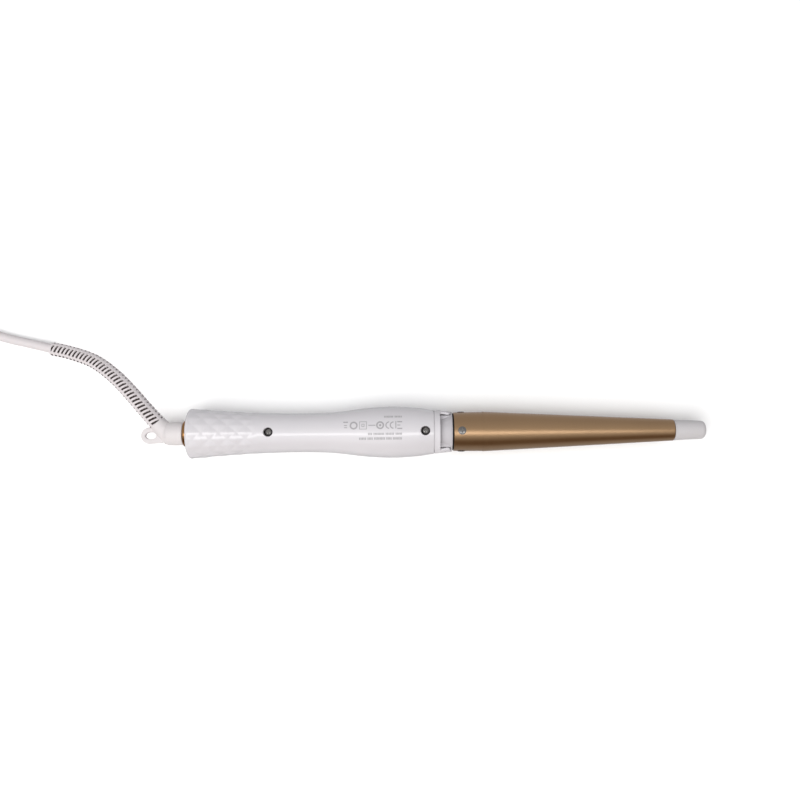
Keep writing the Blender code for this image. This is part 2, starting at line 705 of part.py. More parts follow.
def boot(frame, surface):
    """The swivelling end: a short barrel on the shaft, the hanging loop and the cord's elbow."""
    start, end = BOOT_SPAN
    round_edge = arc((start + BOOT_EDGE, BOOT_RADIUS - BOOT_EDGE), BOOT_EDGE, 180, 90, 3)
    outline = ((start, 0), *round_edge, (end, BOOT_RADIUS), (end, 0))
    body = settle("swivel_boot", turned(outline, 36), surface, frame)
    x, y = LOOP_CENTRE
    half = LOOP_HALF_WIDTH
    outer = arc((LOOP_END + half, y), half, 270, 90, 12)
    loop = slab([*outer, *LOOP_ROOT], -LOOP_THICKNESS / 2, LOOP_THICKNESS / 2, "Z")
    cut(body, cutter("loop", loop, frame), "UNION")
    x0, y0 = ELBOW_START
    x1, y1, _ = RELIEF_ROUTE[0]
    out = Vector((x1 - x0, y1 - y0, 0)).normalized()
    elbow = rod((x0, y0, 0), Vector((x1, y1, 0)) - out * GAP, ELBOW_RADIUS, segments=32)
    cut(body, cutter("elbow", elbow, frame), "UNION")
    hole = slab(arc((x, y), LOOP_HOLE[0], 0, 345, 23, LOOP_HOLE[1]), -0.01, 0.01, "Z")
    cut(body, cutter("loop_hole", hole, frame))
    socket = rod((SHAFT_SPAN[0] - GAP, 0, 0), (0.01, 0, 0), SHAFT_RADIUS + GAP, segments=32)
    cut(body, cutter("shaft_socket", socket, frame))


def cord(frame, surface):
    """The strain relief, the cord as far as its coil, the coil, and the cord from it to the plug."""
    relief = smooth_line(from_floor(RELIEF_ROUTE), 0.006)
    tube("strain_relief", relief, RELIEF_RADII[0], surface, frame, end_radius=RELIEF_RADII[1])
    tube("cord", smooth_line(from_floor(CORD_ROUTE), CORD_SPACING), CORD_RADIUS, surface, frame)
    inner, outer = COIL_RADII
    low, high = COIL_HEIGHT
    ring = ((low, inner), (low, outer), (high, outer), (high, inner))
    centre = (*COIL_CENTRE, -AXIS_HEIGHT)
    settle("cord_coil", aimed(turned(ring, FINE), centre, (0, 0, 1)), surface, frame)
    tube("cord_tail", smooth_line(from_floor(TAIL_ROUTE), 0.0075), CORD_RADIUS, surface, frame)


def plug(frame, surface, brass):
    x, y, z = PLUG_BACK
    z -= AXIS_HEIGHT
    length, width, height = PLUG_SIZE
    start = x + PLUG_RELIEF_LENGTH
    half = width / 2
    outline = [
        (start, y - half + PLUG_CORNER),
        (start + PLUG_CORNER, y - half),
        (start + length, y - half),
        (start + length, y + half),
        (start + PLUG_CORNER, y + half),
        (start, y + half - PLUG_CORNER),
    ]
    body = settle("plug_body", slab(outline, z - height / 2, z + height / 2, "Z"), surface, frame)
    sleeve = rod((x, y, z), (start + PLUG_LAP, y, z), PLUG_SLEEVE_RADIUS, PLUG_RELIEF_RADIUS)
    cut(body, cutter("plug_relief", sleeve, frame), "UNION")
    reach, thick, deep = BLADE_SIZE
    face = start + length + GAP
    for side, name in ((-1, "left"), (1, "right")):
        middle = y + side * BLADE_SPACING / 2
        low = (face, middle - thick / 2, z - deep / 2)
        high = (face + reach, middle + thick / 2, z + deep / 2)
        settle(f"plug_blade_{name}", box(low, high), brass, frame)


def build():
    clear_scene()
    frame = bpy.data.objects.new("wand_frame", None)
    frame.location = (-(WAND_LENGTH + LOOP_END) / 2, 0, AXIS_HEIGHT)
    bpy.context.scene.collection.objects.link(frame)
    white = material("white_plastic", 226, 223, 226, 0.42)
    blush = material("boot_plastic", 230, 222, 222, 0.5)
    band = material("stand_plastic", 213, 210, 213, 0.45)
    grey = material("neck_plastic", 150, 148, 150, 0.5)
    dark = material("dark_plastic", 45, 45, 48, 0.5)
    lens = material("lens", 30, 32, 36, 0.15)
    board = material("circuit_board", 36, 92, 58, 0.5)
    bronze = material("barrel_coating", 172, 138, 108, 0.34, 0.9)
    gold = material("ring_metal", 189, 160, 133, 0.3, 0.9)
    steel = material("steel", 190, 190, 192, 0.35, 1.0)
    brass = material("brass", 196, 160, 92, 0.35, 1.0)
    metal = material("aluminium", 200, 202, 205, 0.4, 1.0)
    ceramic = material("ceramic", 235, 232, 225, 0.6)
    hollow = handle_cavity(frame)
    holes = []
    for name, (x, floor) in HANDLE_SCREWS.items():
        holes.append(screw_hole(f"screw_hole_{name}", x, floor, frame))
    label_shell(frame, hollow, holes, white)
    control_shell(frame, hollow, holes, white)
    for name, (x, floor) in HANDLE_SCREWS.items():
        handle_screw(name, x, floor, steel, frame)
    controls(frame, dark, white, lens, board, metal)
    leads(frame, dark)
    neck(frame, grey, dark)
    stand(frame, band)
    barrel(frame, bronze, steel, dark)
    cool_tip(frame, white)
    heater(frame, metal, ceramic, steel)
    swivel(frame, gold, brass, dark)
    boot(frame, blush)
    cord(frame, white)
    plug(frame, white, brass)


build()
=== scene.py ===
"""Looks of the tapered curling wand: surfaces, fine geometry, floor, light and camera.

Places are in metres. Most are counted along the wand's axis from the handle's rear face and
up from the axis, as in the CAD model, and at() puts them into the row frame.
"""

import json
import math

import bmesh
import bpy
import numpy as np
from mathutils import Matrix, Vector

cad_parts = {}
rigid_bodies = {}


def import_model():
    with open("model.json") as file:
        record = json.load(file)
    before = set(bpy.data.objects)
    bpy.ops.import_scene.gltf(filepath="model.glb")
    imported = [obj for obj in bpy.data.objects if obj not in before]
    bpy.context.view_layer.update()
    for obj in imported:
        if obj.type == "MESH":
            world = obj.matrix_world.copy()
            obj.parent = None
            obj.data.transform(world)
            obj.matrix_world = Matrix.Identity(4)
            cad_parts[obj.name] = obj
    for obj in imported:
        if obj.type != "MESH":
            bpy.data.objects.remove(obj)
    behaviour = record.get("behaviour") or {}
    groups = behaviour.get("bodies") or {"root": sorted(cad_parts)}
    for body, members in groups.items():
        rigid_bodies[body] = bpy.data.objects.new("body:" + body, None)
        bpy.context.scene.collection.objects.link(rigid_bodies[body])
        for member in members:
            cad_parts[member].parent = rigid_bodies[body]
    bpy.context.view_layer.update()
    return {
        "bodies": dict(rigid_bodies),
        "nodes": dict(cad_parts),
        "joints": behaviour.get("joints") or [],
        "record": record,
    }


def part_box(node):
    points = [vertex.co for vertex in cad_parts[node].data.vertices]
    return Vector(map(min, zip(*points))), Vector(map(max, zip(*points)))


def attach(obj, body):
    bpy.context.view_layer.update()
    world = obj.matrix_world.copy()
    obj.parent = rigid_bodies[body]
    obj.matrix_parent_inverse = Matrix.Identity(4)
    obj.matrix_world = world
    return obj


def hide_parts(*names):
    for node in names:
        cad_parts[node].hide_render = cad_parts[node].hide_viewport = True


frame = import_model()

# The wand's own frame, from the CAD
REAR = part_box("label_shell")[0].x
AXIS_HEIGHT = (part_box("barrel")[0].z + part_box("barrel")[1].z) / 2
WAND_FRAME = Matrix.Translation((REAR, 0, AXIS_HEIGHT))
SEAM = 0.00015
SCREWS_ROUND = 4

# Camera
VIEW_DISTANCE = 0.5765
VIEW_TILT = math.radians(5.5)
VIEW_ROLL = math.radians(0.455)
VIEW_CENTRE = (0.1391, 0.0213, 0.0)
LENS = 39.15

# Light. Each band of the tent has its lean from overhead, minus on the near side, and its colour.
# Past 90 degrees a band stands for the table in reflections, which don't see the white floor.
TENT_BANDS = (
    (-180, (0.46, 0.46, 0.48)),
    (-104, (0.40, 0.39, 0.39)),
    (-90, (0.17, 0.12, 0.08)),
    (-62, (0.13, 0.08, 0.04)),
    (-46, (0.36, 0.34, 0.32)),
    (-30, (0.54, 0.54, 0.54)),
    (20, (0.55, 0.55, 0.55)),
    (70, (0.44, 0.44, 0.45)),
    (180, (0.50, 0.50, 0.52)),
)
BACKDROP = (0.80, 0.80, 0.81)
KEY_PLACE = (-0.50, -0.66, 1.60)
KEY_SIZE = (1.9, 1.9)
KEY_POWER = 38.0
STRIP_PLACE = (-0.15, -0.19, 0.90)
STRIP_TARGET = (-0.15, 0.0, 0.0)
STRIP_SIZE = (1.2, 0.20)
STRIP_POWER = 1.9
FLOOR_HALF = 1.6
FLOOR_DROP = 0.0002

# Handle
HANDLE_OUTLINE = (
    (0.0020, 0.01645),
    (0.0240, 0.01456),
    (0.0500, 0.01310),
    (0.0766, 0.01274),
    (0.0960, 0.01347),
    (0.1170, 0.01590),
    (0.1330, 0.01678),
    (0.1490, 0.01604),
    (0.1610, 0.01442),
)
HANDLE_END = HANDLE_OUTLINE[-1][0]
HANDLE_CORNER = 0.0020
REAR_FACE_RADIUS = 0.0141
WALL = 0.0020
FLAT_WALL = 0.0018
END_WALL = 0.0022
FRONT_WALL = 0.0016
REAR_HOLE_RADIUS = 0.0090
FRONT_HOLE_RADIUS = 0.0104
HANDLE_SCREWS = {"rear": (0.0536, 0.0096), "front": (0.1555, 0.0120)}
COUNTERBORE_RADIUS = 0.00285
SCREW_HEAD_RADIUS = 0.0025
SCREW_HEAD_HEIGHT = 0.0017
SHANK_RADIUS = 0.0012
BUTTONS = {"minus": (0.1300, 0.0030), "plus": (0.1378, 0.0030), "power": (0.1462, 0.0034)}
WINDOW = ((0.1152, -0.0042), (0.1250, 0.0042))
GAP = 0.0003

# Diamond facets round the rear of the grip
FACET_PITCH = 0.0113
FACET_FIRST = 0.0050
FACETS_ROUND = 10
FACET_HEIGHT = 0.00046
FACET_RISE = (0.0016, 0.0028)
FACET_FADE = (0.0400, 0.0485)

# Printed marks
MARK_STEP = 0.0006
INK_LIFT = 0.00002
MARK_WIDTH = 0.0004

# Neck and stand
NECK_START = 0.1613
FLANGE_START = 0.1721
NECK_END = 0.1730
NECK_INSIDE = 0.0095
FLANGE_RADIUS = 0.0131
SHROUD_RADIUS = 0.0142
SHROUD_TOP = 0.0013
SADDLE_RADII = (0.0100, 0.0121)
SADDLE_FLOOR = 0.0067
SADDLE_HALF_WIDTH = 0.0105
STAND_BAR = (0.1615, 0.1650)
STAND_INNER = 0.0120
STAND_OUTER = 0.0142
STAND_FOOT = 0.0016
STAND_PIVOT = (0.1698, 0.0042)
STAND_EYE = 0.0020
PIN_RADIUS = 0.0008
PIN_HOLE = 0.0011

# Barrel and tip
BARREL_OUTLINE = (
    (0.1740, 0.01265),
    (0.1830, 0.01280),
    (0.1955, 0.01283),
    (0.2036, 0.01257),
    (0.3189, 0.00700),
)
BARREL_SCREW_X = 0.1792
BARREL_SCREW_HEAD = 0.00265
BARREL_SCREW_DOME = 0.0006
BARREL_SCREW_SEAT = 0.0126
BARREL_WALL = 0.0010
BARREL_LIP = 0.0004
TIP_PLUG = (0.3110, 0.0052)
TIP_RADII = (0.0068, 0.0060)
TIP_START = 0.3192
TIP_END = 0.3400
TIP_ROUNDING = 0.0030

# Swivel end
RING_SPAN = (-0.0033, 0.0017)
RING_RADIUS = 0.0087
RING_SLEEVE = 0.0080
RING_BORE = 0.0054
BOOT_RADIUS = 0.0076
BOOT_SPAN = (-0.0150, -0.0036)
LOOP_END = -0.0317
LOOP_CENTRE = (-0.0251, -0.0011)
LOOP_HALF = 0.0053
LOOP_HOLE = (0.0037, 0.0023)
LOOP_THICKNESS = 0.0034
ELBOW_START = (-0.0114, -0.0031)
ELBOW_RADIUS = 0.0057
RELIEF_RADII = (0.0054, 0.0045)
SLOT_PITCH = 0.0028
SLOT_WIDTH = 0.0011
SLOT_DEPTH = 0.0024
SLOT_REACH = math.radians(33)
SLOT_SLANT = math.tan(math.radians(16))

# Cord: points (x, y, height above the floor), the same as the CAD's
CORD_RADIUS = 0.0030
RELIEF_ROUTE = (
    (-0.0237, 0.0099, 0.0145),
    (-0.0308, 0.0176, 0.0141),
    (-0.0383, 0.0260, 0.0132),
    (-0.0512, 0.0388, 0.0110),
    (-0.0663, 0.0496, 0.0080),
    (-0.0835, 0.0560, 0.0056),
    (-0.0965, 0.0590, 0.0048),
)
CORD_ROUTE = (
    (-0.0968, 0.0591, 0.0048),
    (-0.1050, 0.0611, 0.0038),
    (-0.1150, 0.0636, 0.00305),
    (-0.1310, 0.0675, 0.00305),
    (-0.1480, 0.0730, 0.00305),
    (-0.1690, 0.0786, 0.00305),
)
COIL_CENTRE = (-0.1960, 0.0310)
COIL_REACH = (0.0243, 0.0479)
COIL_TURNS = 4.75
COIL_LAYERS = (0.0032, 0.0091)
COIL_ENTRY = math.radians(76)
COIL_STEPS = 30
CORD_SPACING = 0.004
TAIL_ROUTE = (
    (-0.2255, -0.0154, 0.0034),
    (-0.2160, -0.0256, 0.0035),
    (-0.2055, -0.0336, 0.0065),
    (-0.1950, -0.0350, 0.0076),
)


def at(x, y, z):
    """A place in the wand's own frame, as a point in the row frame."""
    return WAND_FRAME @ Vector((x, y, z))


# ---------------------------------------------------------------- geometry helpers


def smooth_line(points, spacing):
    """Evenly spaced points of a Catmull-Rom curve through the given points."""
    p = np.array(points, float)
    p = np.vstack([2 * p[0] - p[1], p, 2 * p[-1] - p[-2]])
    t = np.linspace(0, 1, 24, endpoint=False)[:, None]
    spans = []
    for a, b, c, d in zip(p[:-3], p[1:-2], p[2:-1], p[3:]):
        square, cube = 2 * a - 5 * b + 4 * c - d, 3 * b - a - 3 * c + d
        spans.append(0.5 * (2 * b + (c - a) * t + square * t**2 + cube * t**3))
    line = np.vstack([*spans, p[-2:-1]])
    along = np.r_[0, np.cumsum(np.linalg.norm(np.diff(line, axis=0), axis=1))]
    count = max(2, round(along[-1] / spacing) + 1)
    places = np.linspace(0, along[-1], count)
    return np.column_stack([np.interp(places, along, line[:, k]) for k in range(line.shape[1])])


def arc(centre, radius, first, last, steps, radius_2=None):
    """Points of an arc in a plane, from the angle first to last in degrees."""
    second = radius if radius_2 is None else radius_2
    turns = [math.radians(first + (last - first) * i / steps) for i in range(steps + 1)]
    return [(centre[0] + radius * math.cos(a), centre[1] + second * math.sin(a)) for a in turns]


def rounded(corners, steps=4):
    """A closed outline from (x, y, fillet radius) corners, each fillet an arc."""
    points = []
    for i, (x, y, radius) in enumerate(corners):
        here = Vector((x, y))
        back = Vector(corners[i - 1][:2]) - here
        ahead = Vector(corners[(i + 1) % len(corners)][:2]) - here
        if radius == 0:
            points.append((x, y))
            continue
        half = back.angle(ahead) / 2
        reach = min(radius / math.tan(half), 0.49 * back.length, 0.49 * ahead.length)
        start, end = here + back.normalized() * reach, here + ahead.normalized() * reach
        for k in range(steps + 1):
            t = k / steps
            point = start * (1 - t) ** 2 + here * 2 * t * (1 - t) + end * t**2
            points.append(tuple(point))
    return points


def finish_mesh(name, bm, surface, sharp=40, place=WAND_FRAME):
    """A linked object from a bmesh, moved into the row frame."""
    bmesh.ops.recalc_face_normals(bm, faces=bm.faces)
    mesh = bpy.data.meshes.new(name)
    bm.to_mesh(mesh)
    bm.free()
    mesh.transform(place)
    mesh.shade_smooth()
    mesh.set_sharp_from_angle(angle=math.radians(sharp))
    mesh.materials.append(surface)
    obj = bpy.data.objects.new(name, mesh)
    bpy.context.scene.collection.objects.link(obj)
    return obj


def grid_piece(name, points, faces, caps, surface, sharp, place):
    """A piece from a grid of points and its quads, closed by two caps."""
    mesh = bpy.data.meshes.new(name)
    mesh.from_pydata(points.reshape(-1, 3).tolist(), [], faces.reshape(-1, 4).tolist() + caps)
    bm = bmesh.new()
    bm.from_mesh(mesh)
    bpy.data.meshes.remove(mesh)
    return finish_mesh(name, bm, surface, sharp, place)


def turned(outline, segments=128):
    """A closed solid turned about the X axis, from a closed outline of (x, radius) points."""
    bm = bmesh.new()
    angles = [2 * math.pi * i / segments for i in range(segments)]
    rings = []
    for x, radius in outline:
        if radius < 1e-9:
            rings.append([bm.verts.new((x, 0, 0))] * segments)
        else:
            rings.append(
                [bm.verts.new((x, radius * math.cos(a), radius * math.sin(a))) for a in angles]
            )
    for one, two in zip(rings, rings[1:] + rings[:1]):
        for i in range(segments):
            j = (i + 1) % segments
            corners = list(dict.fromkeys((one[i], one[j], two[j], two[i])))
            if len(corners) > 2:
                bm.faces.new(corners)
    return bm


def aimed(bm, start, direction):
    """Moves a solid turned about X so that its axis leaves start along direction."""
    turn = Vector((1, 0, 0)).rotation_difference(Vector(direction).normalized())
    place = Matrix.Translation(start) @ turn.to_matrix().to_4x4()
    bmesh.ops.transform(bm, verts=bm.verts, matrix=place)
    return bm


def rod(start, end, radius, end_radius=None, segments=48):
    start, end = Vector(start), Vector(end)
    length = (end - start).length
    last = radius if end_radius is None else end_radius
    outline = ((0, 0), (0, radius), (length, last), (length, 0))
    return aimed(turned(outline, segments), start, end - start)


def box(low, high):
    bm = bmesh.new()
    bmesh.ops.create_cube(bm, size=1.0)
    low, high = Vector(low), Vector(high)
    size, middle = high - low, (low + high) / 2
    place = Matrix.Translation(middle) @ Matrix.Diagonal((*size, 1))
    bmesh.ops.transform(bm, verts=bm.verts, matrix=place)
    return bm


def slab(outline, low, high, across="Y"):
    """A flat outline made thick: (x, z) points across Y, or (x, y) points across Z."""
    bm = bmesh.new()
    if across == "Y":
        ends = [[bm.verts.new((a, depth, b)) for a, b in outline] for depth in (low, high)]
    else:
        ends = [[bm.verts.new((a, b, depth)) for a, b in outline] for depth in (low, high)]
    near, far = ends
    bm.faces.new(near)
    bm.faces.new(far)
    for i in range(len(near)):
        j = (i + 1) % len(near)
        bm.faces.new((near[i], near[j], far[j], far[i]))
    return bm


def apply_modifiers(obj):
    """Turns the object's modifiers into its mesh."""
    graph = bpy.context.evaluated_depsgraph_get()
    mesh = bpy.data.meshes.new_from_object(obj.evaluated_get(graph))
    obj.modifiers.clear()
    obj.data = mesh


def combine(obj, parts, operation="DIFFERENCE", sharp=40):
    """Booleans obj with each bmesh in turn, in obj's own material, then shades it anew."""
    tools = [finish_mesh(f"{obj.name}_tool", part, obj.data.materials[0]) for part in parts]
    for tool in tools:
        step = obj.modifiers.new("cut", "BOOLEAN")
        step.operation = operation
        step.solver = "MANIFOLD"
        step.object = tool
    apply_modifiers(obj)
    for tool in tools:
        bpy.data.objects.remove(tool)
    obj.data.shade_smooth()
    obj.data.set_sharp_from_angle(angle=math.radians(sharp))
    return obj


def join(obj, extra):
    """Unites another object with obj, and removes it."""
    step = obj.modifiers.new("join", "BOOLEAN")
    step.operation = "UNION"
    step.solver = "MANIFOLD"
    step.object = extra
    apply_modifiers(obj)
    bpy.data.objects.remove(extra)


def soften(obj, width, segments=3, angle=35):
    """Rounds the sharp edges of an object."""
    bevel = obj.modifiers.new("soft_edges", "BEVEL")
    bevel.width = width
    bevel.segments = segments
    bevel.limit_method = "ANGLE"
    bevel.angle_limit = math.radians(angle)
    bevel.harden_normals = True


# ---------------------------------------------------------------- materials


class Nodes:
    """A short way to write a material's node tree."""

    def __init__(self, name):
        self.material = bpy.data.materials.new(name)
        self.material.use_nodes = True
        self.tree = self.material.node_tree
        self.shader = self.tree.nodes["Principled BSDF"]
        self.coordinates = self.add("ShaderNodeTexCoord").outputs["Object"]

    def add(self, kind, **settings):
        node = self.tree.nodes.new(kind)
        for key, value in settings.items():
            setattr(node, key, value)
        return node

    def link(self, source, target):
        self.tree.links.new(source, target)

    def stretched(self, x, y, z):
        """Object coordinates, scaled differently along each axis."""
        node = self.add("ShaderNodeMapping")
        node.inputs["Scale"].default_value = (x, y, z)
        self.link(self.coordinates, node.inputs["Vector"])
        return node.outputs["Vector"]

    def noise(self, scale, detail, vector=None):
        """Noise over object coordinates, or over the given vector."""
        node = self.add("ShaderNodeTexNoise")
        node.inputs["Scale"].default_value = scale
        node.inputs["Detail"].default_value = detail
        node.inputs["Roughness"].default_value = 0.5
        self.link(vector or self.coordinates, node.inputs["Vector"])
        return node.outputs["Fac"]

    def ramp(self, value, low, high):
        """Maps a noise's usual range to low..high."""
        node = self.add("ShaderNodeMapRange")
        for key, number in zip(("From Min", "From Max", "To Min", "To Max"), (0.3, 0.7, low, high)):
            node.inputs[key].default_value = number
        self.link(value, node.inputs["Value"])
        return node.outputs["Result"]

    def blend(self, factor, one, two):
        node = self.add("ShaderNodeMix", data_type="RGBA")
        self.link(factor, node.inputs["Factor"])
        node.inputs["A"].default_value = (*one, 1)
        node.inputs["B"].default_value = (*two, 1)
        return node.outputs["Result"]

    def bump(self, height, strength, distance):
        node = self.add("ShaderNodeBump")
        node.inputs["Strength"].default_value = strength
        node.inputs["Distance"].default_value = distance
        self.link(height, node.inputs["Height"])
        return node.outputs["Normal"]

    def set(self, **values):
        """Sets or links the shader's inputs, named with _ for a space."""
        for key, value in values.items():
            target = self.shader.inputs[key.replace("_", " ")]
            if isinstance(value, bpy.types.NodeSocket):
                self.link(value, target)
            else:
                target.default_value = value
        return self.material


def linear(*colour):
    """An 8-bit sRGB colour, none of it near black, as linear light."""
    return tuple(((c / 255 + 0.055) / 1.055) ** 2.4 for c in colour)


def moulded_plastic(name, colour, roughness, grain=0.00002, coat=0.0, coat_roughness=0.18):
    """Moulded plastic: faint tone drift, a fine spark-eroded grain and uneven gloss."""
    n = Nodes(name)
    drift = n.noise(38, 3)
    red, green, blue = colour
    pale = tuple(min(1.0, c * 1.03) for c in colour)
    deep = (red * 0.97, green * 0.97, blue * 0.982)
    fine = n.noise(4200, 2)
    wear = n.noise(160, 4)
    return n.set(
        Base_Color=n.blend(drift, deep, pale),
        Roughness=n.ramp(wear, roughness - 0.04, roughness + 0.05),
        Normal=n.bump(fine, 0.35, grain),
        Coat_Weight=coat,
        Coat_Roughness=coat_roughness,
        Coat_IOR=1.65,
    )


def turned_metal(name, colour, roughness, lines, coat=0.0):
    """Metal finished on a lathe about the wand's axis: fine rings, and a slow drift in tone."""
    n = Nodes(name)
    rings = n.noise(1.0, 2, n.stretched(lines, 30, 30))
    drift = n.noise(26, 3)
    deep = tuple(c * 0.94 for c in colour)
    pale = tuple(min(1.0, c * 1.06) for c in colour)
    return n.set(
        Base_Color=n.blend(drift, deep, pale),
        Metallic=1.0,
        Roughness=n.ramp(rings, roughness - 0.05, roughness + 0.06),
        Normal=n.bump(rings, 0.4, 0.000012),
        Coat_Weight=coat,
        Coat_Roughness=0.25,
    )


def plain_metal(name, colour, roughness):
    """Small metal parts: brushed marks one way, with slight staining."""
    n = Nodes(name)
    marks = n.noise(1.0, 3, n.stretched(900, 72, 360))
    stain = n.noise(420, 3)
    dull = tuple(c * 0.8 for c in colour)
    return n.set(
        Base_Color=n.blend(stain, dull, colour),
        Metallic=1.0,
        Roughness=n.ramp(marks, roughness - 0.07, roughness + 0.08),
        Normal=n.bump(marks, 0.3, 0.00001),
    )


def printed_ink():
    n = Nodes("label_ink")
    worn = n.noise(2600, 3)
    return n.set(
        Base_Color=n.blend(worn, linear(142, 140, 143), linear(170, 168, 170)),
        Roughness=0.6,
    )


def ceramic_surface():
    n = Nodes("ceramic")
    pores = n.noise(1500, 4)
    return n.set(
        Base_Color=n.blend(pores, linear(212, 206, 196), linear(240, 238, 232)),
        Roughness=0.62,
        Normal=n.bump(pores, 0.3, 0.00003),
    )


def board_surface():
    n = Nodes("circuit_board")
    weave = n.noise(1.0, 2, n.stretched(1400, 90, 90))
    return n.set(
        Base_Color=n.blend(weave, linear(22, 74, 44), linear(40, 108, 66)),
        Roughness=0.4,
        Normal=n.bump(weave, 0.2, 0.00002),
    )


MATERIALS = {
    "handle": moulded_plastic(
        "handle_plastic", linear(205, 202, 205), 0.42, coat=1.0, coat_roughness=0.12
    ),
    "boot": moulded_plastic("boot_plastic", linear(207, 202, 202), 0.48),
    "cord": moulded_plastic("cord_plastic", linear(206, 200, 201), 0.50),
    "stand": moulded_plastic("stand_plastic", linear(203, 200, 203), 0.46),
    # The neck's grey, darker than the handle's white, is painted shade for the recess under the stand.
    "neck": moulded_plastic("neck_plastic", linear(180, 177, 180), 0.50),
    "tip": moulded_plastic("tip_plastic", linear(188, 185, 186), 0.50),
    # Painted shade: a dark brown-grey for the deepest faces of the relief's slots, standing in for the
    # shade inside them.
    "slot": moulded_plastic("slot_painted_shade", linear(74, 65, 62), 0.70),
    "dark": moulded_plastic("dark_plastic", linear(34, 33, 35), 0.50),
    "lens": moulded_plastic("lens_plastic", linear(26, 28, 32), 0.10, grain=0.000002, coat=0.6),
    "barrel": turned_metal("barrel_coating", linear(184, 149, 112), 0.34, lines=2600, coat=0.5),
    "gold": turned_metal("ring_metal", linear(178, 134, 90), 0.26, lines=1800),
    "steel": plain_metal("screw_steel", linear(142, 140, 138), 0.24),
    "brass": plain_metal("brass", linear(206, 170, 98), 0.32),
    "aluminium": plain_metal("aluminium", linear(206, 208, 210), 0.38),
    "ceramic": ceramic_surface(),
    "board": board_surface(),
    "ink": printed_ink(),
}


# ---------------------------------------------------------------- camera, floor and light


def make_camera():
    """Looks down on the label side, leaning a little from the wand's near side."""
    forward = Vector((0, math.sin(VIEW_TILT), -math.cos(VIEW_TILT)))
    roll = Matrix.Rotation(VIEW_ROLL, 3, forward)
    right = roll @ Vector((1, 0, 0))
    up = right.cross(forward)
    data = bpy.data.cameras.new("camera")
    data.lens = LENS
    data.clip_start = 0.01
    camera = bpy.data.objects.new("camera", data)
    place = at(*VIEW_CENTRE) - forward * VIEW_DISTANCE
    turn = Matrix((right, up, -forward)).transposed().to_4x4()
    camera.matrix_world = Matrix.Translation(place) @ turn
    bpy.context.scene.collection.objects.link(camera)
    bpy.context.scene.camera = camera


def area_light(name, place, target, size, power):
    data = bpy.data.lights.new(name, "AREA")
    data.shape = "RECTANGLE"
    data.size, data.size_y = size
    data.energy = power
    light = bpy.data.objects.new(name, data)
    light.location = place
    aim = Vector(target) - Vector(place)
    light.rotation_euler = aim.to_track_quat("-Z", "Y").to_euler()
    bpy.context.scene.collection.objects.link(light)
    return light


def make_floor():
    """A white table top, just under the cord."""
    bm = bmesh.new()
    bmesh.ops.create_grid(bm, x_segments=1, y_segments=1, size=FLOOR_HALF)
    n = Nodes("table_white")
    n.set(Base_Color=(0.97, 0.97, 0.97, 1), Roughness=0.9, Specular_IOR_Level=0.0)
    floor = finish_mesh("table_top", bm, n.material, place=Matrix.Translation((0, 0, -FLOOR_DROP)))
    floor.visible_glossy = False


def make_tent():
    """The surroundings: bands of light and shade along the wand, and a plain backdrop to look at."""
    world = bpy.data.worlds.new("studio")
    world.use_nodes = True
    nodes, links = world.node_tree.nodes, world.node_tree.links
    where = nodes.new("ShaderNodeTexCoord")
    parts = nodes.new("ShaderNodeSeparateXYZ")
    angle = nodes.new("ShaderNodeMath")
    angle.operation = "ARCTAN2"
    spread = nodes.new("ShaderNodeMapRange")
    spread.inputs["From Min"].default_value = -math.pi
    spread.inputs["From Max"].default_value = math.pi
    bands = nodes.new("ShaderNodeValToRGB")
    seen = nodes.new("ShaderNodeLightPath")
    tone = nodes.new("ShaderNodeMix")
    tone.data_type = "RGBA"
    tone.inputs["B"].default_value = (*BACKDROP, 1)
    links.new(where.outputs["Generated"], parts.inputs["Vector"])
    links.new(parts.outputs["Y"], angle.inputs[0])
    links.new(parts.outputs["Z"], angle.inputs[1])
    links.new(angle.outputs["Value"], spread.inputs["Value"])
    links.new(spread.outputs["Result"], bands.inputs["Fac"])
    links.new(seen.outputs["Is Camera Ray"], tone.inputs["Factor"])
    links.new(bands.outputs["Color"], tone.inputs["A"])
    links.new(tone.outputs["Result"], nodes["Background"].inputs["Color"])
    elements = bands.color_ramp.elements
    while len(elements) < len(TENT_BANDS):
        elements.new(0.5)
    for element, (lean, colour) in zip(elements, TENT_BANDS):
        element.position = (lean + 180) / 360
        element.color = (*colour, 1)
    bpy.context.scene.world = world


def make_lights():
    """A soft key from the handle's near side, and a strip overhead that only gloss shows."""
    key = area_light("key", KEY_PLACE, (0, 0, 0), KEY_SIZE, KEY_POWER)
    key.visible_glossy = False
    strip = area_light("overhead_strip", STRIP_PLACE, STRIP_TARGET, STRIP_SIZE, STRIP_POWER)
    strip.visible_diffuse = False


# ---------------------------------------------------------------- cord


def floor_route(route):
    """Route points with their height above the floor, as points in the row frame."""
    return [(REAR + x, y, z) for x, y, z in route]


def coil_turns():
    """A flat coil of two layers: inwards along the floor, then outwards on top."""
    inner, outer = COIL_REACH
    low, high = COIL_LAYERS
    centre_x, centre_y = COIL_CENTRE
    steps = round(COIL_TURNS * COIL_STEPS)
    points = []
    for layer, (start, end) in enumerate(((outer, inner), (inner, outer))):
        for k in range(steps + 1):
            t = k / steps
            turn = COIL_ENTRY + 2 * math.pi * COIL_TURNS * (layer + t)
            radius = start + (end - start) * t
            z = low + (high - low) * layer * min(1.0, k / (COIL_STEPS / 2))
            points.append((centre_x + radius * math.cos(turn), centre_y + radius * math.sin(turn), z))
    return points


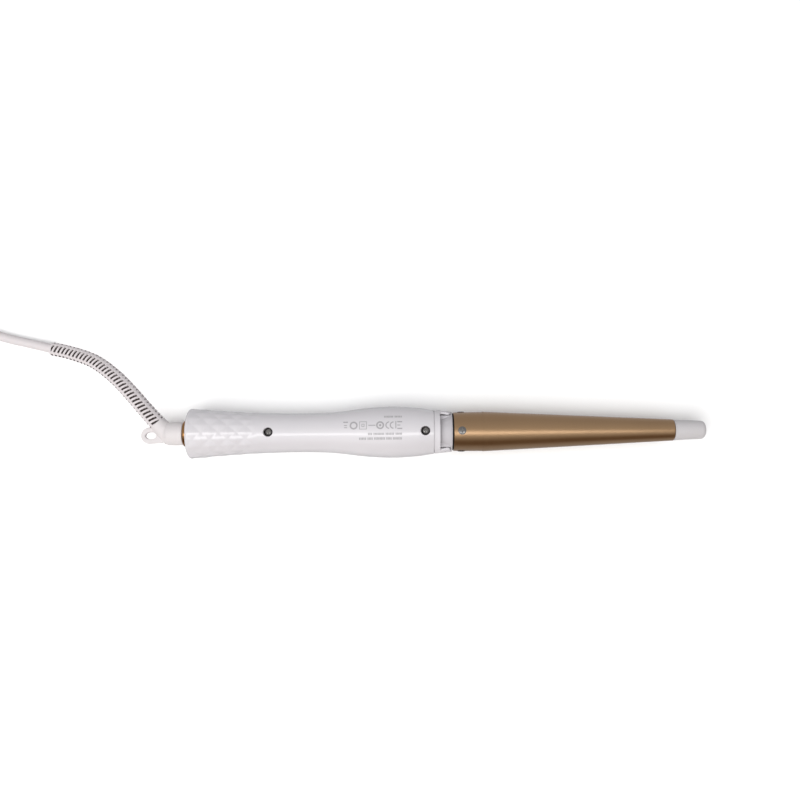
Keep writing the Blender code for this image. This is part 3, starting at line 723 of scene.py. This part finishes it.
def make_cord():
    """The whole cord as one curve: from the strain relief to the coil and on to the plug."""
    lead = smooth_line(CORD_ROUTE, CORD_SPACING)
    turns = coil_turns()
    joined = smooth_line([*map(tuple, lead[::4]), *turns[2:-3:2], *TAIL_ROUTE], CORD_SPACING)
    joined[:, 2] = np.maximum(joined[:, 2], CORD_RADIUS)
    points = floor_route(joined)
    data = bpy.data.curves.new("mains_cord", "CURVE")
    data.dimensions = "3D"
    data.bevel_depth = CORD_RADIUS
    data.bevel_resolution = 6
    data.use_fill_caps = True
    spline = data.splines.new("POLY")
    spline.points.add(len(points) - 1)
    for target, point in zip(spline.points, points):
        target.co = (*point, 1)
    spline.use_smooth = True
    data.materials.append(MATERIALS["cord"])
    cord = bpy.data.objects.new("mains_cord", data)
    bpy.context.scene.collection.objects.link(cord)
    length = float(np.linalg.norm(np.diff(np.array(points), axis=0), axis=1).sum())
    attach(cord, "cord_set")
    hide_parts("cord", "cord_coil", "cord_tail")
    return cord, points[0], length


def plug_body():
    """The plug's moulding, with a sleeve for the cord and finger ridges at its sides."""
    low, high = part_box("plug_body")
    x0, y = low.x - REAR, (low.y + high.y) / 2
    z = (low.z + high.z) / 2 - AXIS_HEIGHT
    half_width, half_height = (high.y - low.y) / 2, (high.z - low.z) / 2
    start, end = x0 + 0.006, high.x - REAR
    outline = rounded([
        (start, y - 0.0050, 0.001),
        (start + 0.006, y - half_width, 0.004),
        (end, y - half_width, 0.0015),
        (end, y + half_width, 0.0015),
        (start + 0.006, y + half_width, 0.004),
        (start, y + 0.0050, 0.001),
    ])
    shape = slab(outline, z - half_height, z + half_height, "Z")
    body = finish_mesh("plug_shell", shape, MATERIALS["cord"])
    grooves = []
    for i in range(5):
        left = end - 0.016 + i * 0.0026
        for side in (-1, 1):
            edge = y + side * (half_width - 0.0006)
            grooves.append(box((left, edge - 0.001, z - 0.006), (left + 0.0012, edge + 0.001, z + 0.006)))
    sleeve = rod((x0, y, z), (start + 0.003, y, z), CORD_RADIUS + 0.0004, 0.0045)
    combine(body, [sleeve], "UNION")
    combine(body, grooves)
    soften(body, 0.0007)
    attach(body, "cord_set")
    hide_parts("plug_body")
    return body


def plug_blade(name):
    """One flat blade with a rounded, pierced end."""
    low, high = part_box(name)
    profile = rounded([
        (low.x, low.z, 0), (high.x, low.z, 0.0022), (high.x, high.z, 0.0022), (low.x, high.z, 0),
    ], steps=6)
    shape = slab(profile, low.y, high.y)
    blade = finish_mesh(f"{name}_metal", shape, MATERIALS["brass"], place=Matrix())
    x, z = low.x + (high.x - low.x) * 0.8 - REAR, (low.z + high.z) / 2 - AXIS_HEIGHT
    combine(blade, [rod((x, low.y - 0.002, z), (x, high.y + 0.002, z), 0.0016)])
    soften(blade, 0.0002, 2)
    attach(blade, "cord_set")
    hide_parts(name)
    return blade


def make_plug():
    return [plug_body(), plug_blade("plug_blade_left"), plug_blade("plug_blade_right")]


# ---------------------------------------------------------------- strain relief and boot


def relief_line():
    """The strain relief's centreline, from inside the boot's elbow to its thin end."""
    first, second = Vector((*ELBOW_START, RELIEF_ROUTE[0][2])), Vector(RELIEF_ROUTE[0])
    inside = first.lerp(second, 0.5)
    return smooth_line([tuple(inside), *RELIEF_ROUTE], 0.0002)


def make_relief():
    """A tapering tube with four staggered rows of slots, so that it bends evenly."""
    line = relief_line()
    count, around = len(line), 112
    along = np.r_[0, np.cumsum(np.linalg.norm(np.diff(line, axis=0), axis=1))]
    total = along[-1]
    tangent = np.gradient(line, axis=0)
    tangent /= np.linalg.norm(tangent, axis=1)[:, None]
    side = np.cross(tangent, (0, 0, 1.0))
    side /= np.linalg.norm(side, axis=1)[:, None]
    up = np.cross(side, tangent)
    angles = np.linspace(0, 2 * math.pi, around, endpoint=False)
    taper = np.clip((along - 0.009) / (total - 0.009), 0, 1)
    radius = RELIEF_RADII[0] + (RELIEF_RADII[1] - RELIEF_RADII[0]) * taper
    # In each quarter of the circumference, a slot lies halfway between those of the next quarter.
    quarter = np.round(angles / (math.pi / 2)).astype(int)
    off = np.abs(angles - quarter * math.pi / 2)
    across = np.clip((SLOT_REACH - off) / 0.06, 0, 1)
    slant = SLOT_SLANT * RELIEF_RADII[0] * np.sin(angles)
    phase = (along[:, None] + slant[None, :]) / SLOT_PITCH + (quarter % 2)[None, :] * 0.5
    away = np.abs(phase - np.round(phase)) * SLOT_PITCH
    cutting = np.clip((SLOT_WIDTH / 2 - away) / 0.00018 + 0.5, 0, 1)
    ends = ((along > 0.0045) & (along < total - 0.0015))[:, None]
    depth = SLOT_DEPTH * cutting * across[None, :] * ends
    lip = np.clip(1 - (total - along) / 0.0006, 0, 1) ** 2 * 0.0006
    reach = radius[:, None] - depth - lip[:, None]
    points = (
        line[:, None, :]
        + reach[:, :, None] * (np.sin(angles)[None, :, None] * side[:, None, :])
        + reach[:, :, None] * (np.cos(angles)[None, :, None] * up[:, None, :])
    )
    points[..., 0] += REAR
    rows = np.arange(count - 1)[:, None] * around
    cols = np.arange(around)[None, :]
    ahead = (cols + 1) % around
    faces = np.stack([rows + cols, rows + ahead, rows + around + ahead, rows + around + cols], -1)
    caps = [tuple(range(around)), tuple(reversed(range((count - 1) * around, count * around)))]
    name = "strain_relief_slotted"
    piece = grid_piece(name, points, faces, caps, MATERIALS["cord"], 50, Matrix())
    # The deepest slot faces take the dark slot material: painted shade inside the slots.
    piece.data.materials.append(MATERIALS["slot"])
    deep = (depth > 0.75 * SLOT_DEPTH).reshape(-1)[faces.reshape(-1, 4)].any(axis=1)
    for polygon, shaded in zip(piece.data.polygons, deep):
        polygon.material_index = int(shaded)
    piece.visible_shadow = False
    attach(piece, "cord_set")
    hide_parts("strain_relief")
    return piece


def make_boot():
    """The boot, its elbow and the hanging loop, melted into one moulding."""
    start, end = BOOT_SPAN
    outline = rounded([
        (start - 0.0022, 0, 0),
        (start - 0.0018, 0.0048, 0.0015),
        (start + 0.0012, BOOT_RADIUS, 0.0012),
        (end, BOOT_RADIUS, 0.0005),
        (end, 0, 0),
    ], steps=5)
    boot = finish_mesh("swivel_boot_moulding", turned(outline, 96), MATERIALS["boot"])
    corner = Vector((*ELBOW_START, 0))
    elbow_end = corner.lerp(Vector((*RELIEF_ROUTE[0][:2], 0)), 0.78)
    elbow = rod(corner, elbow_end, ELBOW_RADIUS, ELBOW_RADIUS - 0.0001, 64)
    half = LOOP_THICKNESS / 2
    outer = arc((LOOP_END + LOOP_HALF, LOOP_CENTRE[1]), LOOP_HALF, 270, 90, 24)
    rest = [(-0.0205, 0.0044), (-0.0140, 0.0046), (-0.0120, -0.0050), (-0.0165, -0.0056)]
    loop = slab([*outer, *rest], -half, half, "Z")
    long_way, short_way = LOOP_HOLE
    hole = arc(LOOP_CENTRE, long_way, 0, 352.5, 47, short_way)
    combine(boot, [elbow, loop], "UNION")
    combine(boot, [slab(hole, -0.01, 0.01, "Z")])
    melt = boot.modifiers.new("melt", "REMESH")
    melt.mode = "VOXEL"
    melt.voxel_size = 0.00022
    smooth = boot.modifiers.new("smooth", "SMOOTH")
    smooth.factor = 0.6
    smooth.iterations = 16
    apply_modifiers(boot)
    socket = rod((-0.0130, 0, 0), (0.01, 0, 0), 0.0053, segments=64)
    combine(boot, [socket], sharp=60)
    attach(boot, "cord_set")
    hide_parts("swivel_boot")


# ---------------------------------------------------------------- handle


def handle_rows():
    """The handle's outer outline from its rear opening to its front one, as (x, radius)."""
    grip = smooth_line(HANDLE_OUTLINE, 0.00045)
    rise = HANDLE_OUTLINE[0][1] - REAR_FACE_RADIUS
    rear = [
        (END_WALL, REAR_HOLE_RADIUS),
        (0.0003, REAR_HOLE_RADIUS),
        (0.0, REAR_HOLE_RADIUS + 0.0003),
        *arc((HANDLE_CORNER, REAR_FACE_RADIUS), HANDLE_CORNER, 180, 90, 8, rise),
    ]
    lip = 0.00018
    end_radius = HANDLE_OUTLINE[-1][1]
    front = arc((HANDLE_END - lip, end_radius - lip), lip, 60, 0, 3)
    front += [(HANDLE_END, FRONT_HOLE_RADIUS + 0.0002), (HANDLE_END - 0.0002, FRONT_HOLE_RADIUS)]
    body = [tuple(p) for p in grip if HANDLE_CORNER < p[0] < HANDLE_END - lip]
    return rear + body + front


def facet_lift(x, angle):
    """Height of the diamond facets: low pyramids in a lattice that fades towards the waist."""
    along = (x - FACET_FIRST) / FACET_PITCH
    round_ = angle / (2 * math.pi / FACETS_ROUND)
    a = along + round_
    b = along - round_
    edge = 2 * np.maximum(np.abs(a - np.round(a)), np.abs(b - np.round(b)))
    (rise, full), (start, end) = FACET_RISE, FACET_FADE
    fade = np.clip((end - x) / (end - start), 0, 1) * np.clip((x - rise) / (full - rise), 0, 1)
    fade = fade * fade * (3 - 2 * fade)
    return FACET_HEIGHT * (0.5 - edge) * fade


def shell_mesh(name, upper):
    """One half of the handle as a closed solid: fine outer skin, plain inner skin and rims."""
    rows = handle_rows()
    inside = HANDLE_END - FRONT_WALL
    inner = [tuple(p) for p in smooth_line(HANDLE_OUTLINE, 0.004) if END_WALL < p[0] < inside]
    inner = [(x, r - WALL) for x, r in reversed(inner)]
    hollow = [
        (inside, FRONT_HOLE_RADIUS),
        (inside, inner[0][1]),
        *inner,
        (END_WALL, inner[-1][1]),
    ]
    outline = np.array(rows + hollow)
    skin = len(rows)
    x, r = outline[:, 0][:, None], outline[:, 1][:, None]
    lip = 0.00022
    columns = 124
    first = np.arcsin(np.clip((SEAM + lip) / r, -1, 1))
    t = np.linspace(0, 1, columns)[None, :]
    angle = first + (math.pi - 2 * first) * t
    lift = np.where(np.arange(len(outline))[:, None] < skin, facet_lift(x, angle - math.pi / 2), 0.0)
    ring = r + lift
    y, z = ring * np.cos(angle), ring * np.sin(angle)
    bend_y, bend_z = r - lip * 0.29, np.full_like(r, SEAM + lip * 0.29)
    rim_y, rim_z = r - lip, np.full_like(r, SEAM)
    y = np.hstack([rim_y, bend_y, y, -bend_y, -rim_y])
    z = np.hstack([rim_z, bend_z, z, bend_z, rim_z])
    if not upper:
        z = -z
        flat = np.where(np.arange(len(outline)) < skin, 0.0, FLAT_WALL) - AXIS_HEIGHT
        z = np.maximum(z, flat[:, None])
    x = np.broadcast_to(x, y.shape)
    points = np.stack([x, y, z], -1)
    count, width = y.shape
    rows_at = np.arange(count)[:, None] * width
    next_row = ((np.arange(count) + 1) % count)[:, None] * width
    cols = np.arange(width - 1)[None, :]
    faces = np.stack([rows_at + cols, rows_at + cols + 1, next_row + cols + 1, next_row + cols], -1)
    caps = [tuple(range(0, count * width, width)), tuple(range(width - 1, count * width, width))]
    return grid_piece(name, points, faces, caps, MATERIALS["handle"], 42, WAND_FRAME)


def counterbore(x, floor):
    """The well over a handle screw, flared at its mouth where the edge is broken."""
    surface = float(np.interp(x, *smooth_line(HANDLE_OUTLINE, 0.001).T))
    outline = (
        (-0.03, 0),
        (-0.03, COUNTERBORE_RADIUS + 0.0006),
        (-surface - 0.0001, COUNTERBORE_RADIUS + 0.00055),
        (-surface + 0.0003, COUNTERBORE_RADIUS + 0.0002),
        (-surface + 0.0009, COUNTERBORE_RADIUS),
        (-floor, COUNTERBORE_RADIUS),
        (-floor, 0),
    )
    return aimed(turned(outline, 64), (x, 0, 0), (0, 0, -1))


def make_label_shell():
    """The upper shell, with a well over each screw."""
    upper = shell_mesh("label_shell_skin", True)
    combine(upper, [counterbore(x, floor) for x, floor in HANDLE_SCREWS.values()], sharp=42)
    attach(upper, "handle")
    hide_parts("label_shell")


def make_control_shell():
    """The lower shell, with openings for the buttons and the display."""
    lower = shell_mesh("control_shell_skin", False)
    tools = []
    for x, radius in BUTTONS.values():
        outline = (
            (0.010, 0),
            (0.010, radius + GAP),
            (AXIS_HEIGHT - 0.0004, radius + GAP),
            (AXIS_HEIGHT + 0.0001, radius + GAP + 0.0003),
            (0.02, radius + GAP + 0.0003),
            (0.02, 0),
        )
        tools.append(aimed(turned(outline, 72), (x, 0, 0), (0, 0, -1)))
    (x0, y0), (x1, y1) = WINDOW
    x0, y0, x1, y1 = x0 - GAP, y0 - GAP, x1 + GAP, y1 + GAP
    frame = [(x0, y0, 0.0012), (x1, y0, 0.0012), (x1, y1, 0.0012), (x0, y1, 0.0012)]
    frame_outline = rounded(frame, steps=6)
    tools.append(slab(frame_outline, -0.02, -0.011, "Z"))
    combine(lower, tools, sharp=42)
    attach(lower, "handle")
    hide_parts("control_shell")


def screw(name, body, place, away, head, seat, shank_end, turn):
    """A pan-head screw with a cross recess; head is (radius, height), away points outwards."""
    radius, height = head
    outline = [
        *arc((seat + height * 0.35, 0), height * 0.65, 0, 90, 10, radius * 0.94),
        (seat + height * 0.3, radius),
        (seat + 0.0001, radius),
        (seat, radius - 0.0002),
        (seat, SHANK_RADIUS),
        (shank_end, SHANK_RADIUS),
        (shank_end, 0),
    ]
    shape = aimed(turned(outline, 64), place, away)
    piece = finish_mesh(f"{name}_detail", shape, MATERIALS["steel"])
    long_half, thin_half = radius * 0.6, radius * 0.14
    recess = (seat + height - height * 0.62, seat + height + 0.001)
    for k in range(2):
        arm = box((recess[0], -long_half, -thin_half), (recess[1], long_half, thin_half))
        turned_by = Matrix.Rotation(turn + k * math.pi / 2, 3, "X")
        bmesh.ops.rotate(arm, verts=arm.verts, matrix=turned_by)
        combine(piece, [aimed(arm, place, away)])
    soften(piece, 0.00008, 2)
    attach(piece, body)
    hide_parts(name)


def barrel_screw_directions():
    """The directions in which the barrel's screws point, from the axis outwards."""
    turns = [2 * math.pi * i / SCREWS_ROUND for i in range(SCREWS_ROUND)]
    return [Vector((0, math.cos(turn), math.sin(turn))) for turn in turns]


def make_screws():
    """Two screws that close the handle and four that hold the barrel."""
    head = (SCREW_HEAD_RADIUS, SCREW_HEAD_HEIGHT)
    for index, (name, (x, floor)) in enumerate(HANDLE_SCREWS.items()):
        place, turn = (x, 0, 0), 0.5 + index
        screw(f"handle_screw_{name}", "handle", place, (0, 0, 1), head, floor + GAP, -0.007, turn)
    head = (BARREL_SCREW_HEAD, BARREL_SCREW_DOME)
    for i, away in enumerate(barrel_screw_directions()):
        place, turn = (BARREL_SCREW_X, 0, 0), 0.9 + 0.7 * i
        screw(f"barrel_screw_{i + 1}", "handle", place, away, head, BARREL_SCREW_SEAT, 0.0080, turn)


def surface_height(x, y):
    """Height of the handle's outer skin above the axis."""
    radius = np.interp(x, *smooth_line(HANDLE_OUTLINE, 0.001).T)
    return math.sqrt(max(radius**2 - y**2, 0.0))


def printed(name, shapes):
    """Ink marks a hair above the label shell; each shape is a strip of (left, right) points."""
    bm = bmesh.new()
    for strip in shapes:
        steps = max(1, math.ceil(max(math.dist(*pair) for pair in strip) / MARK_STEP))
        rows = []
        for left, right in strip:
            line = [Vector(left).lerp(Vector(right), k / steps) for k in range(steps + 1)]
            rows.append([bm.verts.new((x, y, surface_height(x, y) + INK_LIFT)) for x, y in line])
        for one, two in zip(rows, rows[1:]):
            for k in range(steps):
                bm.faces.new((one[k], one[k + 1], two[k + 1], two[k]))
    piece = finish_mesh(name, bm, MATERIALS["ink"])
    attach(piece, "handle")


def bar(x0, x1, y0, y1):
    steps = max(2, math.ceil((x1 - x0) / MARK_STEP))
    places = [x0 + (x1 - x0) * k / steps for k in range(steps + 1)]
    return [((x, y0), (x, y1)) for x in places]


def ring(x, y, outer, inner, first=0, last=360):
    """A ring, or a part of one, as a strip round it."""
    return list(zip(arc((x, y), inner, first, last, 36), arc((x, y), outer, first, last, 36)))


def word_row(x0, x1, y0, y1, words):
    """Bars in the rhythm of a line of small print, with nothing to read in them."""
    shapes, gap = [], 0.0007
    unit = (x1 - x0 - gap * (len(words) - 1)) / sum(words)
    for width in words:
        letters = max(1, round(width * unit / 0.0009))
        step = width * unit / letters
        for k in range(letters):
            shapes.append(bar(x0 + k * step, x0 + k * step + step * 0.68, y0, y1))
        x0 += width * unit + gap
    return shapes


def frame_marks(x0, x1, y0, y1, line=0.0004):
    """The four sides of a rectangle."""
    return [
        bar(x0, x0 + line, y0, y1), bar(x1 - line, x1, y0, y1),
        bar(x0, x1, y0, y0 + line), bar(x0, x1, y1 - line, y1),
    ]


def make_label():
    """A generic rating label: rows of plain bars and simple shapes in grey ink."""
    shapes = word_row(0.1288, 0.1404, 0.0086, 0.0098, (5, 4))
    shapes += word_row(0.1184, 0.1404, -0.0027, -0.0013, (2, 5, 4, 3))
    shapes += word_row(0.1126, 0.1404, -0.0057, -0.0042, (4, 3, 6, 3, 5))
    low, high = 0.0010, 0.0062
    middle = (low + high) / 2
    shapes += [
        bar(0.1023, 0.1054, high - 0.0008, high),
        bar(0.1029, 0.1048, low + 0.0010, low + 0.0016),
        bar(0.1029, 0.1048, low + 0.0024, low + 0.0030),
        ring(0.1091, middle, 0.0026, 0.0016),
        *frame_marks(0.1127, 0.1176, low, high),
        *frame_marks(0.1142, 0.1161, middle - 0.0010, middle + 0.0010),
        bar(0.1186, 0.1232, middle - 0.0003, middle + 0.0003),
        ring(0.1262, middle, 0.0026, 0.0016),
        ring(0.1262, middle, 0.0008, 0.0),
        ring(0.1320, middle, 0.0024, 0.0017, 90, 270),
        ring(0.1348, middle, 0.0024, 0.0017, 90, 270),
        bar(0.1360, 0.1366, low + 0.0004, high),
        bar(0.1372, 0.1404, high - 0.0008, high),
        bar(0.1372, 0.1392, middle - 0.0003, middle + 0.0003),
        bar(0.1372, 0.1404, low, low + 0.0008),
    ]
    printed("label_print", shapes)


# ---------------------------------------------------------------- controls


def button_marks(name, x):
    """A button's sign as strips: an open ring with a bar, or a plus or minus of plain bars."""
    half = MARK_WIDTH / 2
    if name == "power":
        tick = [((x - half, y), (x + half, y)) for y in (0.0004, 0.0019)]
        return [ring(x, 0, 0.0016, 0.0012, -60, 240), tick]
    arm = 0.0014
    strips = [[((x - half, y), (x + half, y)) for y in (-arm, arm)]]
    if name == "plus":
        strips.append([((end, -half), (end, half)) for end in (x - arm, x + arm)])
    return strips


def make_button(name, x, radius):
    """A button: a cap with a dished face and a flange inside the shell, and its sign."""
    face = AXIS_HEIGHT - 0.00025
    flange = AXIS_HEIGHT - FLAT_WALL - GAP
    outline = [
        (face - 0.00025, 0),
        (face - 0.0002, radius * 0.55),
        (face - 0.00004, radius * 0.82),
        *arc((face - 0.0004, radius - 0.0004), 0.0004, 0, 90, 5),
        (flange, radius),
        (flange, radius + 0.0007),
        (flange - 0.001, radius + 0.0007),
        (flange - 0.001, 0),
    ]
    body = f"{name}_button"
    shape = aimed(turned(outline, 72), (x, 0, 0), (0, 0, -1))
    cap = finish_mesh(f"{body}_cap", shape, MATERIALS["handle"])
    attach(cap, body)
    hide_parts(body)
    depth = -(face - 0.0002) - INK_LIFT
    marks = bmesh.new()
    for strip in button_marks(name, x):
        rows = [[marks.verts.new((px, py, depth)) for px, py in pair] for pair in strip]
        for one, two in zip(rows, rows[1:]):
            marks.faces.new((one[0], one[1], two[1], two[0]))
    sign = finish_mesh(f"{body}_mark", marks, MATERIALS["ink"])
    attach(sign, body)


def make_controls():
    """The underside's three buttons and the display's window."""
    for name, (x, radius) in BUTTONS.items():
        make_button(name, x, radius)
    (x0, y0), (x1, y1) = WINDOW
    pane = rounded([(x0, y0, 0.001), (x1, y0, 0.001), (x1, y1, 0.001), (x0, y1, 0.001)], steps=6)
    shape = slab(pane, 0.00025 - AXIS_HEIGHT, FLAT_WALL - AXIS_HEIGHT + 0.0009, "Z")
    lens = finish_mesh("display_lens_pane", shape, MATERIALS["lens"])
    soften(lens, 0.0002, 3)
    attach(lens, "handle")
    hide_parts("display_lens")


# ---------------------------------------------------------------- neck, stand, barrel and tip


def make_neck():
    """The fixed neck: a core, a shroud below it, a saddle under the open stand and a rib behind it."""
    start, end = NECK_START - 0.0022, FLANGE_START
    core = rounded([
        (start, 0.0100, 0),
        (end - 0.0037, 0.0100, 0),
        (end - 0.0015, 0.0102, 0.0015),
        (end, 0.0107, 0.0003),
        (end, FLANGE_RADIUS, 0.00025),
        (NECK_END, FLANGE_RADIUS, 0.0003),
        (NECK_END, 0.0070, 0),
        (start, 0.0070, 0),
    ])
    # The neck material's darker grey is painted shade for the recess under the stand.
    collar = finish_mesh("neck_collar_moulding", turned(core, 160), MATERIALS["neck"])
    shroud = rounded([
        (NECK_START, NECK_INSIDE, 0),
        (NECK_START, SHROUD_RADIUS, 0.0003),
        (NECK_START + 0.0060, SHROUD_RADIUS - 0.0004, 0),
        (end + 0.0002, FLANGE_RADIUS, 0),
        (end + 0.0002, NECK_INSIDE, 0),
    ])
    first, last = STAND_BAR[1] + 0.0001, end + 0.0002
    low, high = SADDLE_RADII
    saddle = [(first, low), (last, high), (last, NECK_INSIDE), (first, NECK_INSIDE)]
    cheeks = [(first, high), *saddle[1:]]
    behind, before, radius = HANDLE_END + 0.00002, STAND_BAR[0] - 0.00005, SHROUD_RADIUS + 0.00005
    rib = [(behind, 0.0098), (behind, radius), (before, radius), (before, 0.0098)]
    above = ((0.15, -0.03, SADDLE_FLOOR), (0.18, 0.03, 0.03))
    between = ((0.15, -SADDLE_HALF_WIDTH, 0.0), (0.18, SADDLE_HALF_WIDTH, SADDLE_FLOOR + 0.0001))
    below = ((0.15, -0.03, -0.03), (0.18, 0.03, SHROUD_TOP))
    for outline, room in ((shroud, below), (saddle, above), (cheeks, between), (rib, above)):
        extra = finish_mesh("neck_extra", turned(outline, 160), MATERIALS["neck"])
        join(collar, combine(extra, [box(*room)], "INTERSECT"))
    x, z = STAND_PIVOT
    pins = [rod((x, s * 0.0095, z), (x, s * 0.0124, z), PIN_RADIUS, segments=32) for s in (-1, 1)]
    combine(collar, pins, "UNION")
    combine(collar, [box((0.1500, -0.0046, -0.02), (0.1598, 0.0046, 0.02))])
    soften(collar, 0.00006, 2)
    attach(collar, "handle")
    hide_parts("neck_collar")


def make_stand():
    """The folding counter stand: a bar over the neck and a leg at each side, on the pivot."""
    back, front = STAND_BAR
    x, z = STAND_PIVOT
    tip = x + STAND_EYE
    outline = (
        (back, STAND_INNER),
        (back, STAND_OUTER),
        (front, STAND_OUTER - 0.0001),
        (tip, FLANGE_RADIUS + 0.0002),
        (tip, FLANGE_RADIUS - 0.0008),
        (front + 0.0002, STAND_OUTER - 0.0012),
        (front, STAND_INNER),
    )
    leg = finish_mesh("counter_stand_moulding", turned(outline, 192), MATERIALS["stand"])
    eye = arc(STAND_PIVOT, STAND_EYE, 90, -90, 24)
    side_view = [
        (back - 0.001, STAND_FOOT),
        (back - 0.001, 0.02),
        (front, 0.02),
        (front, z + STAND_EYE + 0.001),
        (front + 0.0008, z + STAND_EYE),
        *eye,
        (x - 0.0006, STAND_FOOT),
    ]
    combine(leg, [slab(side_view, -0.03, 0.03)], "INTERSECT")
    combine(leg, [rod((x, -0.03, z), (x, 0.03, z), PIN_HOLE, segments=48)])
    soften(leg, 0.00012, 2)
    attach(leg, "stand")
    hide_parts("counter_stand")


def make_barrel():
    """The coated tube, with rolled ends and a hole for each screw."""
    outer = [tuple(p) for p in smooth_line(BARREL_OUTLINE, 0.0015)]
    (x0, r0), (x1, r1) = outer[0], outer[-1]
    lip = BARREL_LIP
    body = [p for p in outer if x0 + lip < p[0] < x1 - lip]
    start = arc((x0 + lip, r0 - lip), lip, 180, 95, 5)
    end = arc((x1 - lip, r1 - lip + 0.00002), lip, 85, 0, 5)
    inner = [(x1, r1 - BARREL_WALL), (x0, r0 - BARREL_WALL)]
    shape = turned([*start, *body, *end, *inner], 256)
    tube = finish_mesh("barrel_tube", shape, MATERIALS["barrel"], sharp=50)
    base = Vector((BARREL_SCREW_X, 0, 0))
    holes = [rod(base + away * 0.0076, base + away * 0.02, 0.0015) for away in barrel_screw_directions()]
    combine(tube, holes, sharp=50)
    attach(tube, "handle")
    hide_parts("barrel")


def make_tip():
    """The cool tip: a plug inside the barrel, a shadow groove and a rounded end."""
    plug_start, plug_radius = TIP_PLUG
    base, end = TIP_RADII
    outline = rounded([
        (plug_start, 0, 0),
        (plug_start, plug_radius, 0.0003),
        (TIP_START, plug_radius, 0),
        (TIP_START, base, 0.0002),
        (TIP_START + 0.0009, base - 0.00003, 0),
        (TIP_START + 0.0011, base - 0.00022, 0),
        (TIP_START + 0.0013, base - 0.00010, 0.0001),
        (TIP_END - TIP_ROUNDING, end, 0),
    ], steps=4)
    outline += arc((TIP_END - TIP_ROUNDING, end - TIP_ROUNDING), TIP_ROUNDING, 88, 0, 14)
    outline.append((TIP_END, 0))
    tip = finish_mesh("cool_tip_moulding", turned(outline, 128), MATERIALS["tip"])
    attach(tip, "handle")
    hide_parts("cool_tip")


def make_ring():
    start, end = RING_SPAN
    crown = arc((start / 2, RING_SLEEVE), -start / 2, 180, 0, 20, RING_RADIUS - RING_SLEEVE)
    outline = [(start, RING_BORE), *crown, (end, RING_SLEEVE), (end, RING_BORE)]
    collar = finish_mesh("swivel_ring_metal", turned(outline, 160), MATERIALS["gold"])
    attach(collar, "handle")
    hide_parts("swivel_ring")


def finish_inner_parts():
    """Gives the CAD's own pieces that stay in use their procedural finishes."""
    finishes = {
        "dark": (
            "insulator_ring", "swivel_bush", "swivel_shaft", "contact_block", "heater_mount",
            "triac", "display_module", "minus_switch", "plus_switch", "power_switch",
            "mains_lead_left", "mains_lead_right", "heater_lead_left", "heater_lead_right",
        ),
        "brass": ("slip_ring_1", "slip_ring_2", "contact_spring_1", "contact_spring_2"),
        "aluminium": ("heater_block_upper", "heater_block_lower", "capacitor"),
        "steel": ("heater_clip", "thermal_fuse"),
        "ceramic": ("ceramic_heater", "thermistor"),
        "board": ("circuit_board",),
    }
    for finish, names in finishes.items():
        for name in names:
            node = frame["nodes"][name]
            node.data.materials.clear()
            node.data.materials.append(MATERIALS[finish])


make_camera()
cord, cord_exit, cord_length = make_cord()
plug_pieces = make_plug()
relief = make_relief()
make_boot()
make_label_shell()
make_control_shell()
make_screws()
make_label()
make_controls()
make_neck()
make_stand()
make_barrel()
make_tip()
make_ring()
finish_inner_parts()
make_floor()
make_tent()
make_lights()
bpy.context.scene.view_settings.view_transform = "Standard"
